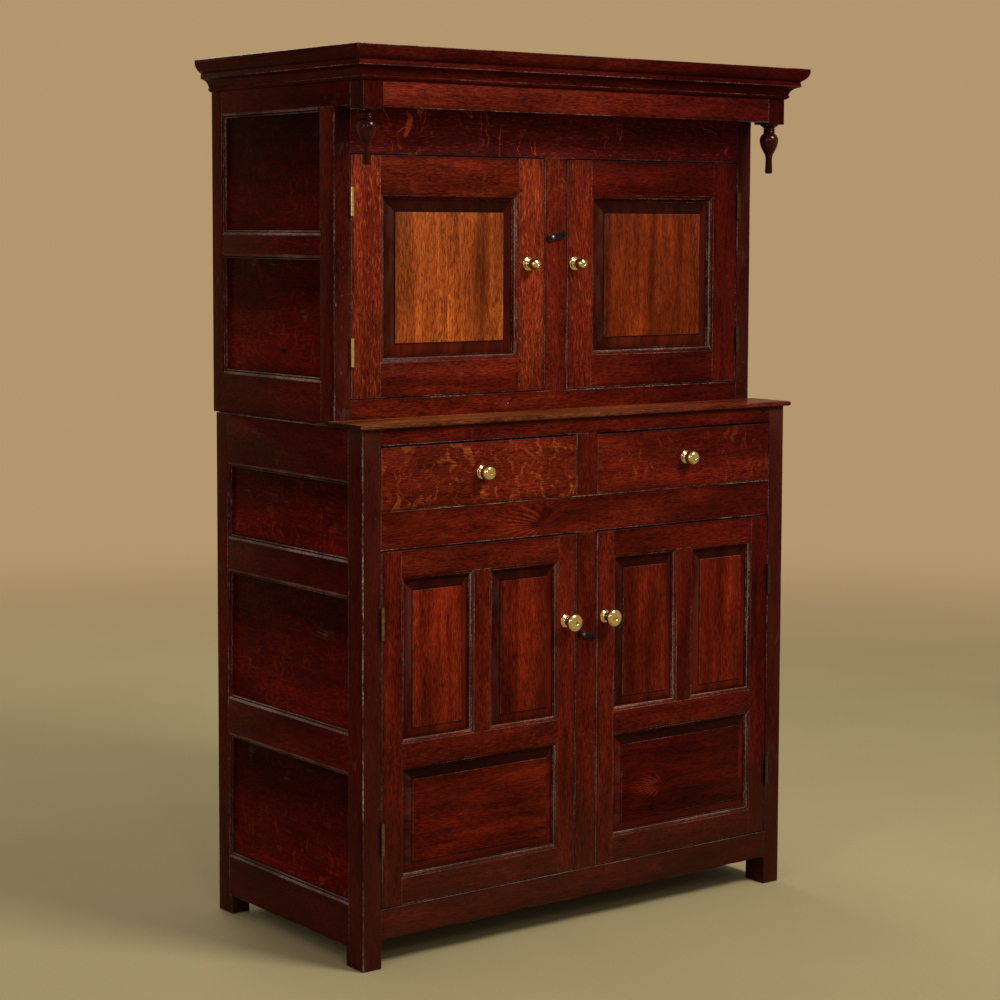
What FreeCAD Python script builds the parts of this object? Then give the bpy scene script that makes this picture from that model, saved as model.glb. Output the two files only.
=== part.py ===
"""Court cupboard: two joined oak cases, the upper one set back under a canopy.

All lengths are in millimetres.  X runs to the right, Y to the back and Z up.
The origin is on the floor, under the middle of the whole piece.
"""
import FreeCAD, Part
import math
import os

Vector = FreeCAD.Vector

# Cases
lower_height = 1066.0
upper_height = 734.0
lower_width = 1114.0
lower_depth = 553.0
upper_width = 1102.0
upper_depth = 467.0
upper_setback = 108.0
canopy_setback = 3.5

# Fits
cut_overrun = 5.0
tenon_clearance = 0.15
panel_side_play = 0.2
panel_edge_play = 1.0
board_play = 0.3
running_clearance = 0.05
knuckle_clearance = 0.3
drawer_lift = 0.3

# Lower front frame, from the floor up
post_width = 43.0
front_post_depth = 59.0
rear_post_depth = 53.0
front_frame_thickness = 30.0
lower_rail_clearance = 58.0
lower_bottom_rail_height = 61.0
drawer_rail_height = 75.0
drawer_opening_height = 129.0
lower_top_rail_height = 33.0
lower_muntin_width = 54.0

# Side frames: rail faces from the floor up, and the openings as shares of the rest
side_frame_thickness = 26.0
side_moulding_width = 9.0
side_moulding_depth = 5.0
side_panel_recess = 9.0
side_panel_thickness = 7.0
groove_depth = 8.0
lower_side_clearance = 40.0
lower_side_bottom_rail = 84.0
lower_side_low_rail = 73.0
lower_side_high_rail = 64.0
lower_side_top_rail = 102.0
lower_side_opening_shares = (0.378, 0.393, 0.229)
upper_side_bottom_rail = 83.0
upper_side_middle_rail = 40.0
upper_side_opening_shares = (0.5, 0.5)

# Joints between members
front_tenon_length = 21.0
front_tenon_thickness = 9.0
front_tenon_setback = 12.0
front_tenon_shoulder = 6.0
side_tenon_length = 26.0
side_tenon_thickness = 7.0
side_tenon_setback = 10.0
side_tenon_shoulder = 12.0
muntin_tenon_length = 20.0
muntin_tenon_shoulder = 8.0
block_tenon_shoulder = 24.0

# Upper front frame
upper_post_width = 39.0
upper_front_post_depth = 57.0
upper_rear_post_depth = 50.0
upper_bottom_rail_height = 49.0
upper_top_rail_height = 89.0
upper_muntin_width = 58.0

# Moulded board in front of the upper case
board_thickness = 10.0
board_overhang = 11.0
board_nose_radius = 4.0

# Canopy
cornice_height = 66.0
cornice_reach = 40.0
block_size = 46.0
block_drop = 120.0
frieze_rise = 4.0
frieze_thickness = 22.0
canopy_rail_rise = 8.0
roof_thickness = 14.0
roof_recess = 4.0
pendant_length = 106.0
pendant_radius = 20.5
pendant_spigot_radius = 9.0
pendant_spigot_length = 22.0

# Backs, floors, tops and shelves
back_board_thickness = 12.0
back_rail_thickness = 22.0
back_rail_height = 70.0
back_rebate = 14.0
back_board_count = 6
floor_board_thickness = 14.0
floor_housing = 9.0
floor_board_count = 3
shelf_thickness = 16.0
shelf_bearer_height = 28.0
shelf_bearer_thickness = 18.0
shelf_front_setback = 70.0

# Doors
door_thickness = 24.0
door_gap = 2.0
upper_door_top_gap = 2.5
lower_door_top_gap = 3.5
door_tenon_length = 34.0
door_tenon_thickness = 7.0
door_tenon_setback = 10.0
door_tenon_shoulder = 8.0
door_panel_tongue_setback = 10.0
door_panel_tongue = 6.0
field_recess = 3.0
field_step = 1.6

upper_hinge_stile = 68.5
upper_lock_stile = 65.5
upper_door_top_rail = 73.5
upper_door_bottom_rail = 69.0
upper_moulding_width = 13.0
upper_moulding_depth = 8.0
upper_bevel = 25.0

lower_hinge_stile = 46.5
lower_lock_stile = 44.0
lower_door_top_rail = 52.5
lower_door_middle_rail = 46.5
lower_door_bottom_rail = 53.0
lower_door_muntin_face = 40.0
lower_panel_opening = 222.5
lower_moulding_width = 10.0
lower_moulding_depth = 7.0
lower_bevel = 19.0

# Drawers
drawer_gap = 1.5
drawer_top_gap = 4.0
drawer_bottom_gap = 0.8
drawer_front_thickness = 22.0
drawer_rebate = 10.0
drawer_side_thickness = 10.0
drawer_side_drop = 14.0
drawer_bottom_thickness = 8.0
drawer_back_gap = 2.0
runner_height = 24.0
runner_width = 30.0
runner_guide_height = 24.0
guide_gap = 0.8

# Brass knobs and roses
drawer_knob_radius = 16.0
drawer_knob_reach = 33.0
lower_knob_radius = 19.0
lower_knob_reach = 39.0
upper_knob_radius = 12.5
upper_knob_reach = 36.0
knob_stem_radius = 3.0
knob_stem_length = 12.0
upper_left_knob_inset = 41.0
upper_right_knob_inset = 20.0
lower_left_knob_inset = 26.0
lower_right_knob_inset = 21.0

# Brass butt hinges
hinge_knuckle_count = 3
hinge_knuckle_radius = 4.0
hinge_pin_radius = 1.6
hinge_leaf_thickness = 1.6
hinge_leaf_width = 20.0
hinge_standoff = 0.4
upper_hinge_length = 57.0
upper_hinge_inset = 92.0
lower_hinge_length = 64.0
lower_hinge_inset = 139.0

# Turn buttons on the muntins between the doors
button_thickness = 5.0
button_standoff = 0.4
button_nail_radius = 2.0
button_head_radius = 5.0
button_head_height = 3.0
button_nail_depth = 18.0
button_stud_radius = 3.5
upper_button_length = 49.0
upper_button_width = 15.0
upper_button_tilt = 12.0
lower_button_length = 45.0
lower_button_width = 12.0
lower_button_tilt = -18.0
button_pivot_share = 0.24
button_stud_share = 0.70
button_end_share = 0.30

# Heights in a cupboard, as shares of its door opening's height, up from the opening's bottom
lower_shelf_height_share = 0.4465
upper_shelf_height_share = 0.531
lower_knob_height_share = 0.7437
upper_knob_height_share = 0.5475
lower_button_height_share = 0.6944
upper_button_height_share = 0.6653

# Outlines, as shares of the sizes that they follow
# Cornice: reach share, then height share down from the top
cornice_outline_shares = {
    "top": (1.0, 0.0),
    "fillet": (1.0, 0.10),
    "ovolo_mid": (0.89, 0.27),
    "ovolo_end": (0.74, 0.37),
    "step": (0.62, 0.43),
    "fascia": (0.65, 0.57),
    "cove_start": (0.58, 0.60),
    "cove_mid": (0.27, 0.70),
    "cove_end": (0.15, 0.86),
    "bead_start": (0.20, 0.88),
    "bead_mid": (0.13, 0.96),
    "bead_end": (0.0, 1.0),
}
# Pendant: radius share, then length share down from the block
pendant_cap_shares = ((0.93, 0.0), (0.93, 0.025), (0.56, 0.08))
pendant_bead_shares = ((0.56, 0.08), (0.63, 0.102), (0.56, 0.124), (0.63, 0.146), (0.56, 0.168))
pendant_bulb_shares = ((0.56, 0.168), (0.87, 0.23), (1.0, 0.32), (0.89, 0.43))
pendant_taper_shares = ((0.89, 0.43), (0.66, 0.53), (0.42, 0.62), (0.34, 0.70))
pendant_stem_shares = ((0.34, 0.70), (0.39, 0.955))
pendant_tip_shares = ((0.39, 0.955), (0.26, 1.0), (0.0, 1.0))
# Knobs: radius share, then reach share out from the wood
drawer_knob_shares = {
    "rose": ((0.0, 0.0), (0.66, 0.0), (0.66, 0.06), (0.40, 0.30)),
    "bulb": ((0.40, 0.30), (0.82, 0.42), (1.0, 0.65), (0.76, 0.90), (0.14, 1.0)),
    "end": ((0.14, 1.0), (0.0, 1.0)),
}
lower_knob_shares = {
    "rose": ((0.0, 0.0), (0.62, 0.0), (0.62, 0.06), (0.36, 0.18), (0.34, 0.46)),
    "bulb": ((0.34, 0.46), (0.84, 0.55), (1.0, 0.73), (0.74, 0.92), (0.12, 1.0)),
    "end": ((0.12, 1.0), (0.0, 1.0)),
}
upper_knob_shares = {
    "rose": ((0.0, 0.0), (1.16, 0.0), (1.16, 0.05), (0.62, 0.12), (0.48, 0.34)),
    "bulb": ((0.48, 0.34), (0.88, 0.46), (1.0, 0.66), (0.76, 0.91), (0.14, 1.0)),
    "end": ((0.14, 1.0), (0.0, 1.0)),
}
# Nail heads: radius share, then height share
nail_crown_shares = ((0.0, 0.0), (1.0, 0.0), (0.78, 0.7), (0.3, 1.0), (0.0, 1.0))
# Turned work: straight cuts in each smooth stretch of an outline, and flats round it
turning_cuts = 3
turning_flats = 14
nail_flats = 8
knuckle_flats = 8
same_place = 0.001
# Run mouldings: how far in the quirk, the ovolo and the last fillet come
moulding_quirk_share = 0.16
moulding_fillet_share = 0.22
moulding_bulge_share = 0.17
moulding_cuts = 2

# Planes that follow from the sizes above
front_reach = max(cornice_reach - canopy_setback, lower_knob_reach)
back_reach = upper_setback + upper_depth - lower_depth
overall_depth = front_reach + lower_depth + back_reach
lower_front = front_reach - overall_depth / 2
lower_back = lower_front + lower_depth
upper_front = lower_front + upper_setback
upper_back = upper_front + upper_depth
canopy_front = lower_front + canopy_setback
lower_half = lower_width / 2
upper_half = upper_width / 2
lower_opening_half = lower_half - post_width
upper_opening_half = upper_half - upper_post_width
lower_muntin_half = lower_muntin_width / 2
upper_muntin_half = upper_muntin_width / 2

overall_height = lower_height + upper_height
drawer_top = lower_height - lower_top_rail_height
drawer_bottom = drawer_top - drawer_opening_height
lower_door_bottom = lower_rail_clearance + lower_bottom_rail_height
lower_door_top = drawer_bottom - drawer_rail_height
block_bottom = overall_height - block_drop
frieze_bottom = block_bottom + frieze_rise
canopy_rail_bottom = block_bottom + canopy_rail_rise
upper_door_bottom = lower_height + upper_bottom_rail_height
upper_door_top = canopy_rail_bottom - upper_top_rail_height
roof_top = overall_height - roof_recess
roof_bottom = roof_top - roof_thickness

nodes = {}


def box(x0, x1, y0, y1, z0, z1):
    """A plain block between two corners."""
    low = Vector(min(x0, x1), min(y0, y1), min(z0, z1))
    return Part.makeBox(abs(x1 - x0), abs(y1 - y0), abs(z1 - z0), low)


def grown(limits, side, ends):
    """The block between limits, let out by side across Z and the wood, and by ends along it."""
    x0, x1, y0, y1, z0, z1 = limits
    dx, dy, dz = side if isinstance(side, tuple) else (side, side, side)
    return box(x0 - dx, x1 + dx, y0 - dy, y1 + dy, z0 - dz - ends, z1 + dz + ends)


def cut_all(solid, cutters):
    """Solid with every cutter taken out of it, as one clean solid."""
    for cutter in cutters:
        solid = solid.cut(cutter)
    return solid.removeSplitter()


def polygon_face(points):
    return Part.Face(Part.makePolygon(points + points[:1]))


def mirrored(solid):
    """The same piece on the other side of the middle."""
    return solid.mirror(Vector(0, 0, 0), Vector(1, 0, 0))


class ShowFace:
    """One flat show face: u runs along it, w into the wood behind it, and z is up."""

    def __init__(self, side, place):
        self.side = side
        self.place = place

    def at(self, u, w, z):
        if self.side == "front":
            return Vector(u, self.place + w, z)
        if self.side == "left":
            return Vector(self.place + w, u, z)
        return Vector(self.place - w, u, z)

    def limits(self, u0, u1, w0, w1, z0, z1):
        """The block's limits in X, Y and Z."""
        a = self.at(u0, w0, z0)
        b = self.at(u1, w1, z1)
        return (min(a.x, b.x), max(a.x, b.x), min(a.y, b.y), max(a.y, b.y), z0, z1)

    def block(self, u0, u1, w0, w1, z0, z1):
        return box(*self.limits(u0, u1, w0, w1, z0, z1))

    def slab(self, outline, w0, w1):
        """An outline in u and z, carried from depth w0 to w1."""
        face = polygon_face([self.at(u, w0, z) for u, z in outline])
        return face.extrude(self.at(0, w1, 0) - self.at(0, w0, 0))


def tenon_cutters(tenons):
    """The mortises that a list of tenons needs."""
    return [grown(tenon, tenon_clearance, 0) for tenon in tenons]


def moulding_outline(width, depth):
    """The waste of a run ovolo: out from the sight edge, then down from the face."""
    quirk = moulding_quirk_share * depth
    fillet = moulding_fillet_share * width
    foot = depth - quirk
    mid_a = (width + fillet) / 2 - moulding_bulge_share * (foot - quirk)
    mid_w = (quirk + foot) / 2 - moulding_bulge_share * (width - fillet)
    return (width, quirk), (mid_a, mid_w), (fillet, foot)


def moulding_cutters(face, opening, width, depth):
    """Four mitred cutters that run an ovolo round an opening (u0, u1, z0, z1)."""
    u0, u1, z0, z1 = opening
    start, middle, end = moulding_outline(width, depth)
    left, right = u0 - width, u1 + width
    low, high = z0 - width, z1 + width
    runs = (
        (lambda a, s: (s, z0 - a), left, right),
        (lambda a, s: (s, z1 + a), left, right),
        (lambda a, s: (u0 - a, s), low, high),
        (lambda a, s: (u1 + a, s), low, high),
    )
    inner = cut_overrun
    a, b = u0 + inner, u1 - inner
    c, d = z0 + inner, z1 - inner
    corners = (
        ((left, low), (right, low), (b, c), (a, c)),
        ((left, high), (right, high), (b, d), (a, d)),
        ((left, low), (left, high), (a, d), (a, c)),
        ((right, low), (right, high), (b, d), (b, c)),
    )
    cutters = []
    for (place, start_s, end_s), outline in zip(runs, corners):
        def point(out, w, s=start_s, place=place):
            u, z = place(out, s)
            return face.at(u, w, z)
        ovolo = Part.Arc(point(*start), point(*middle), point(*end)).toShape()
        profile = polygon_face([point(width, -inner)] + ovolo.discretize(Number=moulding_cuts + 1) + [
            point(end[0], depth), point(-inner, depth), point(-inner, -inner),
        ])
        run = profile.extrude(point(0, 0, end_s) - point(0, 0, start_s))
        cutters.append(run.common(face.slab(list(outline), -inner, depth)))
    return cutters


class MouldedFrame:
    """Uprights, rails and muntins round panel openings, with mitred run mouldings.

    Every member is laid out to its sight edges, and its moulded face layer runs on
    over its neighbour's to the outer edge of the moulding, where the mitre ends.
    """

    def __init__(self, face, thickness, moulding_width, moulding_depth):
        self.face = face
        self.thickness = thickness
        self.m = moulding_width
        self.d = moulding_depth
        self.openings = []
        self.tongues = []

    def add_opening(self, u0, u1, z0, z1, tongue_setback, tongue):
        """An opening between sight edges, with the groove that its panel sits in."""
        self.openings.append((u0, u1, z0, z1))
        reach = groove_depth + panel_edge_play
        a = tongue_setback - panel_side_play
        b = tongue_setback + tongue + panel_side_play
        self.tongues.append(self.face.block(u0 - reach, u1 + reach, a, b, z0 - reach, z1 + reach))

    def rail(self, u0, u1, z0, z1, moulded_below, moulded_above):
        """A rail between two uprights, with its mitred face layer."""
        m = self.m
        body = self.face.block(u0, u1, 0, self.thickness, z0, z1)
        low = z0 + m if moulded_below else z0
        high = z1 - m if moulded_above else z1
        points = [(u0, z0), (u1, z0)] if moulded_below else []
        points += [(u1 + m, low), (u1 + m, high)]
        points += [(u1, z1), (u0, z1)] if moulded_above else []
        points += [(u0 - m, high), (u0 - m, low)]
        layer = self.face.slab(points, 0, self.d)
        return body.fuse(layer), layer

    def muntin(self, u0, u1, z0, z1):
        """An upright between two rails, moulded on both edges."""
        m = self.m
        body = self.face.block(u0, u1, 0, self.thickness, z0, z1)
        points = [(u0, z0), (u0 + m, z0 - m), (u1 - m, z0 - m), (u1, z0)]
        points += [(u1, z1), (u1 - m, z1 + m), (u0 + m, z1 + m), (u0, z1)]
        layer = self.face.slab(points, 0, self.d)
        return body.fuse(layer), layer

    def finish(self, member):
        """Cut the grooves and run the mouldings on one member."""
        cutters = list(self.tongues)
        for opening in self.openings:
            cutters += moulding_cutters(self.face, opening, self.m, self.d)
        near = [cutter for cutter in cutters if member.BoundBox.intersect(cutter.BoundBox)]
        return cut_all(member, near)


# Lower case: posts and front frame

def x_rail(y0, thickness, half, z0, z1, tenon_setback, shoulder):
    """A rail that runs across, tenoned into a post at each end."""
    body = box(-half, half, y0, y0 + thickness, z0, z1)
    w0 = y0 + tenon_setback
    w1 = w0 + front_tenon_thickness
    low = z0 + shoulder
    high = z1 - shoulder
    long = half + front_tenon_length
    tenons = [(-long, -half, w0, w1, low, high), (half, long, w0, w1, low, high)]
    for tenon in tenons:
        body = body.fuse(box(*tenon))
    return body, tenons


def z_muntin(y0, thickness, half, z0, z1):
    """An upright that is tenoned into the rails below and above it."""
    body = box(-half, half, y0, y0 + thickness, z0, z1)
    w0 = y0 + front_tenon_setback
    w1 = w0 + front_tenon_thickness
    across = half - muntin_tenon_shoulder
    tenons = [
        (-across, across, w0, w1, z0 - muntin_tenon_length, z0),
        (-across, across, w0, w1, z1, z1 + muntin_tenon_length),
    ]
    for tenon in tenons:
        body = body.fuse(box(*tenon))
    return body, tenons


def lower_front_frame():
    """Three rails and two muntins, and the tenons that the posts take."""
    spans = (
        ("lower_front_bottom_rail", lower_rail_clearance, lower_door_bottom),
        ("lower_drawer_rail", lower_door_top, drawer_bottom),
        ("lower_front_top_rail", drawer_top, lower_height),
    )
    rails = {}
    tenons = []
    for name, z0, z1 in spans:
        rails[name], ends = x_rail(
            lower_front, front_frame_thickness, lower_opening_half, z0, z1,
            front_tenon_setback, front_tenon_shoulder,
        )
        tenons += ends
    door_muntin, door_ends = z_muntin(
        lower_front, front_frame_thickness, lower_muntin_half, lower_door_bottom, lower_door_top
    )
    drawer_muntin, drawer_ends = z_muntin(
        lower_front, front_frame_thickness, lower_muntin_half, drawer_bottom, drawer_top
    )
    for name in rails:
        rails[name] = cut_all(rails[name], tenon_cutters(door_ends + drawer_ends))
    return rails, door_muntin, drawer_muntin, tenons


def side_levels(start, rails, opening_shares, top_rail_bottom):
    """The rails' lower and upper edges, with the openings sharing out what the rails leave."""
    free = top_rail_bottom - start - sum(rails)
    levels = [start]
    for rail, opening_share in zip(rails, opening_shares):
        levels.append(levels[-1] + rail)
        levels.append(levels[-1] + opening_share * free)
    return levels


def lower_level(height_share):
    """A height in the lower cupboard, from its share of the door opening."""
    return lower_door_bottom + height_share * (lower_door_top - lower_door_bottom)


def upper_level(height_share):
    """A height in the upper cupboard, from its share of the door opening."""
    return upper_door_bottom + height_share * (upper_door_top - upper_door_bottom)


def side_frame(face, u0, u1, levels, top):
    """The rails and panels of one side; levels are the rail faces' lower and upper edges."""
    frame = MouldedFrame(face, side_frame_thickness, side_moulding_width, side_moulding_depth)
    m = side_moulding_width
    edges = levels + [top]
    pairs = list(zip(edges[0::2], edges[1::2]))
    last = len(pairs) - 1
    spans = []
    for index, (low, high) in enumerate(pairs):
        z0 = low - m if index > 0 else low
        z1 = high + m if index < last else high
        spans.append((z0, z1, index > 0, index < last))
    for below, above in zip(spans, spans[1:]):
        frame.add_opening(u0, u1, below[1], above[0], side_panel_recess, side_panel_thickness)
    rails = []
    layers = []
    tenons = []
    for z0, z1, moulded_below, moulded_above in spans:
        body, layer = frame.rail(u0, u1, z0, z1, moulded_below, moulded_above)
        ends = side_tenons(face, u0, u1, z0 + side_tenon_shoulder, z1 - side_tenon_shoulder)
        for tenon in ends:
            body = body.fuse(box(*tenon))
        rails.append(frame.finish(body))
        layers.append(layer)
        tenons += ends
    panels = [
        face.block(
            a - groove_depth, b + groove_depth, side_panel_recess, side_panel_recess + side_panel_thickness,
            c - groove_depth, d + groove_depth,
        )
        for a, b, c, d in frame.openings
    ]
    return frame, rails, panels, layers, tenons


def side_tenons(face, u0, u1, z0, z1):
    w0 = side_tenon_setback
    w1 = w0 + side_tenon_thickness
    return [
        face.limits(u0 - side_tenon_length, u0, w0, w1, z0, z1),
        face.limits(u1, u1 + side_tenon_length, w0, w1, z0, z1),
    ]


def back_rail(y1, half, z0, z1):
    """A back rail in front of the back boards, tenoned into the rear posts."""
    y0 = y1 - back_board_thickness - back_rail_thickness
    setback = (back_rail_thickness - front_tenon_thickness) / 2
    return x_rail(y0, back_rail_thickness, half, z0, z1, setback, front_tenon_shoulder)


def back_boards(y1, half, z0, z1):
    """Upright boards, edge to edge, nailed in the posts' rebates and on the back rails."""
    reach = half + back_rebate - board_play
    width = 2 * reach / back_board_count
    boards = []
    for index in range(back_board_count):
        x0 = -reach + index * width
        boards.append(box(x0, x0 + width, y1 - back_board_thickness, y1, z0, z1))
    return boards


def rear_rebates(y1, half, z0, z1):
    """The rebates that the back boards sit in."""
    depth = back_board_thickness
    reach = half + back_rebate
    return [box(-reach, reach, y1 - depth, y1 + cut_overrun, z0, z1)]


def lower_sides():
    rails = (lower_side_bottom_rail, lower_side_low_rail, lower_side_high_rail)
    top = lower_height - lower_side_top_rail
    levels = side_levels(lower_side_clearance, rails, lower_side_opening_shares, top)
    u0 = lower_front + front_post_depth
    u1 = lower_back - rear_post_depth
    left = side_frame(ShowFace("left", -lower_half), u0, u1, levels, lower_height)
    right = side_frame(ShowFace("right", lower_half), u0, u1, levels, lower_height)
    return left, right


def board_row(x0, x1, y0, y1, z0, z1, count, keep_out):
    """Boards that run across, side by side, notched round the members named in keep_out."""
    depth = (y1 - y0) / count
    boards = []
    for index in range(count):
        start = y0 + index * depth
        boards.append(cut_all(box(x0, x1, start, start + depth, z0, z1), keep_out))
    return boards


def lower_case():
    rails, door_muntin, drawer_muntin, front_tenons = lower_front_frame()
    left, right = lower_sides()
    bottom_back, bottom_tenons = back_rail(
        lower_back, lower_opening_half, lower_rail_clearance, lower_rail_clearance + back_rail_height
    )
    top_back, top_tenons = back_rail(
        lower_back, lower_opening_half, lower_height - back_rail_height, lower_height
    )
    rear_tenons = bottom_tenons + top_tenons

    posts = []
    for half, side in ((-lower_half, left), (lower_half, right)):
        inner = math.copysign(lower_opening_half, half)
        frame, side_rails, panels, layers, side_ends = side
        spans = (
            (lower_front, lower_front + front_post_depth, front_tenons),
            (lower_back - rear_post_depth, lower_back, rear_tenons),
        )
        for y0, y1, tenons in spans:
            post = box(inner, half, y0, y1, 0, lower_height)
            post = cut_all(post, layers + tenon_cutters(tenons + side_ends))
            posts.append(frame.finish(post))
    rebates = rear_rebates(lower_back, lower_opening_half, lower_rail_clearance, lower_height + cut_overrun)
    posts = [cut_all(post, rebates) for post in posts]

    floor_top = lower_door_bottom
    floor = (
        -lower_half + side_frame_thickness - floor_housing, lower_half - side_frame_thickness + floor_housing,
        lower_front + front_frame_thickness - floor_housing,
        lower_back - back_board_thickness - back_rail_thickness,
        floor_top - floor_board_thickness, floor_top,
    )
    roof = (
        floor[0], floor[1], floor[2], lower_back - back_board_thickness - back_rail_thickness + floor_housing,
        lower_height - floor_board_thickness, lower_height,
    )
    housings = [grown(floor, (0, 0, board_play), 0), grown(roof, (0, 0, board_play), 0)]
    side_rails = [cut_all(rail, housings) for rail in left[1] + right[1]]
    corner_posts = [grown(bounds_of(post), (board_play, board_play, 0), 0) for post in posts]
    for name in ("lower_front_bottom_rail", "lower_front_top_rail"):
        rails[name] = cut_all(rails[name], housings)
    top_back = cut_all(top_back, housings)

    nodes["lower_posts"] = posts
    for name, rail in rails.items():
        nodes[name] = [rail]
    nodes["drawer_muntin"] = [drawer_muntin]
    nodes["lower_door_muntin"] = [door_muntin]
    nodes["lower_side_rails"] = side_rails
    nodes["lower_side_panels"] = left[2] + right[2]
    nodes["lower_back_rails"] = [bottom_back, top_back]
    nodes["lower_back_boards"] = back_boards(
        lower_back, lower_opening_half, lower_rail_clearance, lower_height
    )
    nodes["lower_floor_boards"] = board_row(*floor, floor_board_count, corner_posts)
    nodes["lower_top_boards"] = board_row(*roof, floor_board_count, corner_posts)


def bounds_of(shape):
    b = shape.BoundBox
    return (b.XMin, b.XMax, b.YMin, b.YMax, b.ZMin, b.ZMax)


# Upper case

def upper_side(face):
    rails = (upper_side_bottom_rail, upper_side_middle_rail)
    levels = side_levels(lower_height, rails, upper_side_opening_shares, canopy_rail_bottom)
    u0 = upper_front + upper_front_post_depth
    u1 = upper_back - upper_rear_post_depth
    return side_frame(face, u0, u1, levels, roof_bottom)


def canopy_side_rail(face, rail, frame, u0):
    """The top side rail, carried forward over the front post to the pendant block."""
    z0 = canopy_rail_bottom - side_moulding_width
    arm = face.block(
        canopy_front + block_size, u0, 0, side_frame_thickness, canopy_rail_bottom, roof_bottom
    )
    post_zone = face.block(u0 - side_tenon_length, u0, 0, side_frame_thickness, z0, canopy_rail_bottom)
    rail = rail.cut(post_zone).fuse(arm)
    w0 = side_tenon_setback
    w1 = w0 + side_tenon_thickness
    tenon = face.limits(
        canopy_front + block_size - side_tenon_length, canopy_front + block_size, w0, w1,
        canopy_rail_bottom + block_tenon_shoulder, roof_bottom - side_tenon_shoulder,
    )
    return frame.finish(rail.fuse(box(*tenon))), tenon


def post_tenon(face):
    """The tenon on a front post's head, up into the canopy side rail."""
    w0 = side_tenon_setback
    w1 = w0 + side_tenon_thickness
    y0 = upper_front + side_tenon_shoulder
    y1 = upper_front + upper_front_post_depth - side_tenon_shoulder
    return face.limits(y0, y1, w0, w1, canopy_rail_bottom, canopy_rail_bottom + side_tenon_length)


def upper_case():
    faces = (ShowFace("left", -upper_half), ShowFace("right", upper_half))
    u0 = upper_front + upper_front_post_depth
    sides = [upper_side(face) for face in faces]

    bottom_rail, bottom_ends = x_rail(
        upper_front, front_frame_thickness, upper_opening_half, lower_height, upper_door_bottom,
        front_tenon_setback, front_tenon_shoulder,
    )
    top_rail, top_ends = x_rail(
        upper_front, front_frame_thickness, upper_opening_half, upper_door_top, canopy_rail_bottom,
        front_tenon_setback, front_tenon_shoulder,
    )
    head_half = upper_half - side_frame_thickness
    head_back = upper_front + front_frame_thickness
    head = box(-head_half, head_half, upper_front, head_back, canopy_rail_bottom, roof_bottom)
    top_rail = top_rail.fuse(head).removeSplitter()
    muntin, muntin_ends = z_muntin(
        upper_front, front_frame_thickness, upper_muntin_half, upper_door_bottom, upper_door_top
    )
    back_low, low_ends = back_rail(
        upper_back, upper_opening_half, lower_height, lower_height + back_rail_height
    )
    back_high, high_ends = back_rail(
        upper_back, upper_opening_half, roof_bottom - back_rail_height, roof_bottom
    )

    posts = []
    side_rails = []
    block_tenons = []
    for face, side in zip(faces, sides):
        frame, rails, panels, layers, side_ends = side
        half = face.place
        inner = math.copysign(upper_opening_half, half)
        head_tenon = post_tenon(face)
        arm, block_tenon = canopy_side_rail(face, rails[-1], frame, u0)
        arm = cut_all(arm, tenon_cutters([head_tenon]))
        block_tenons.append(block_tenon)
        side_rails += rails[:-1] + [arm]

        front = box(inner, half, upper_front, u0, lower_height, canopy_rail_bottom)
        front = cut_all(front, layers[:-1] + [rails[-1]] + tenon_cutters(bottom_ends + top_ends + side_ends))
        front = frame.finish(front.fuse(box(*head_tenon)))
        rear = box(inner, half, upper_back - upper_rear_post_depth, upper_back, lower_height, roof_bottom)
        rear = cut_all(rear, layers + tenon_cutters(low_ends + high_ends + side_ends))
        posts += [front, frame.finish(rear)]
    rebates = rear_rebates(
        upper_back, upper_opening_half, lower_height - cut_overrun, roof_bottom + cut_overrun
    )
    posts = [cut_all(post, rebates) for post in posts]

    floor = (
        -upper_half + side_frame_thickness - floor_housing, upper_half - side_frame_thickness + floor_housing,
        upper_front + front_frame_thickness - floor_housing,
        upper_back - back_board_thickness - back_rail_thickness,
        upper_door_bottom - floor_board_thickness, upper_door_bottom,
    )
    housings = [grown(floor, (0, 0, board_play), 0)]
    bottom_rail = cut_all(bottom_rail, housings + tenon_cutters(muntin_ends))
    top_rail = cut_all(top_rail, tenon_cutters(muntin_ends))
    side_rails = [cut_all(rail, housings) for rail in side_rails]
    corner_posts = [grown(bounds_of(post), (board_play, board_play, 0), 0) for post in posts]

    nodes["upper_posts"] = posts
    nodes["upper_front_bottom_rail"] = [bottom_rail]
    nodes["upper_front_top_rail"] = [top_rail]
    nodes["upper_door_muntin"] = [muntin]
    nodes["upper_side_rails"] = side_rails
    nodes["upper_side_panels"] = sides[0][2] + sides[1][2]
    nodes["upper_back_rails"] = [back_low, back_high]
    nodes["upper_back_boards"] = back_boards(upper_back, upper_opening_half, lower_height, roof_bottom)
    nodes["upper_floor_boards"] = board_row(*floor, floor_board_count, corner_posts)
    return block_tenons


# Moulded board, canopy and cornice

def top_board():
    """A thin board with a rounded nose, in front of the upper case."""
    z0 = lower_height
    z1 = z0 + board_thickness
    half = lower_half + board_overhang
    front = lower_front - board_overhang
    board = box(-half, half, front, upper_front, z0, z1)
    edges = [
        edge for edge in board.Edges
        if edge.BoundBox.ZLength < board_nose_radius and is_show_edge(edge, half, front)
    ]
    return board.makeFillet(board_nose_radius, edges)


def is_show_edge(edge, half, front):
    """True for the edges along the front and the two ends of the board."""
    b = edge.BoundBox
    along_front = abs(b.YMax - front) < board_nose_radius
    along_end = abs(abs(b.XMin + b.XMax) / 2 - half) < board_nose_radius
    return along_front or along_end


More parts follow.
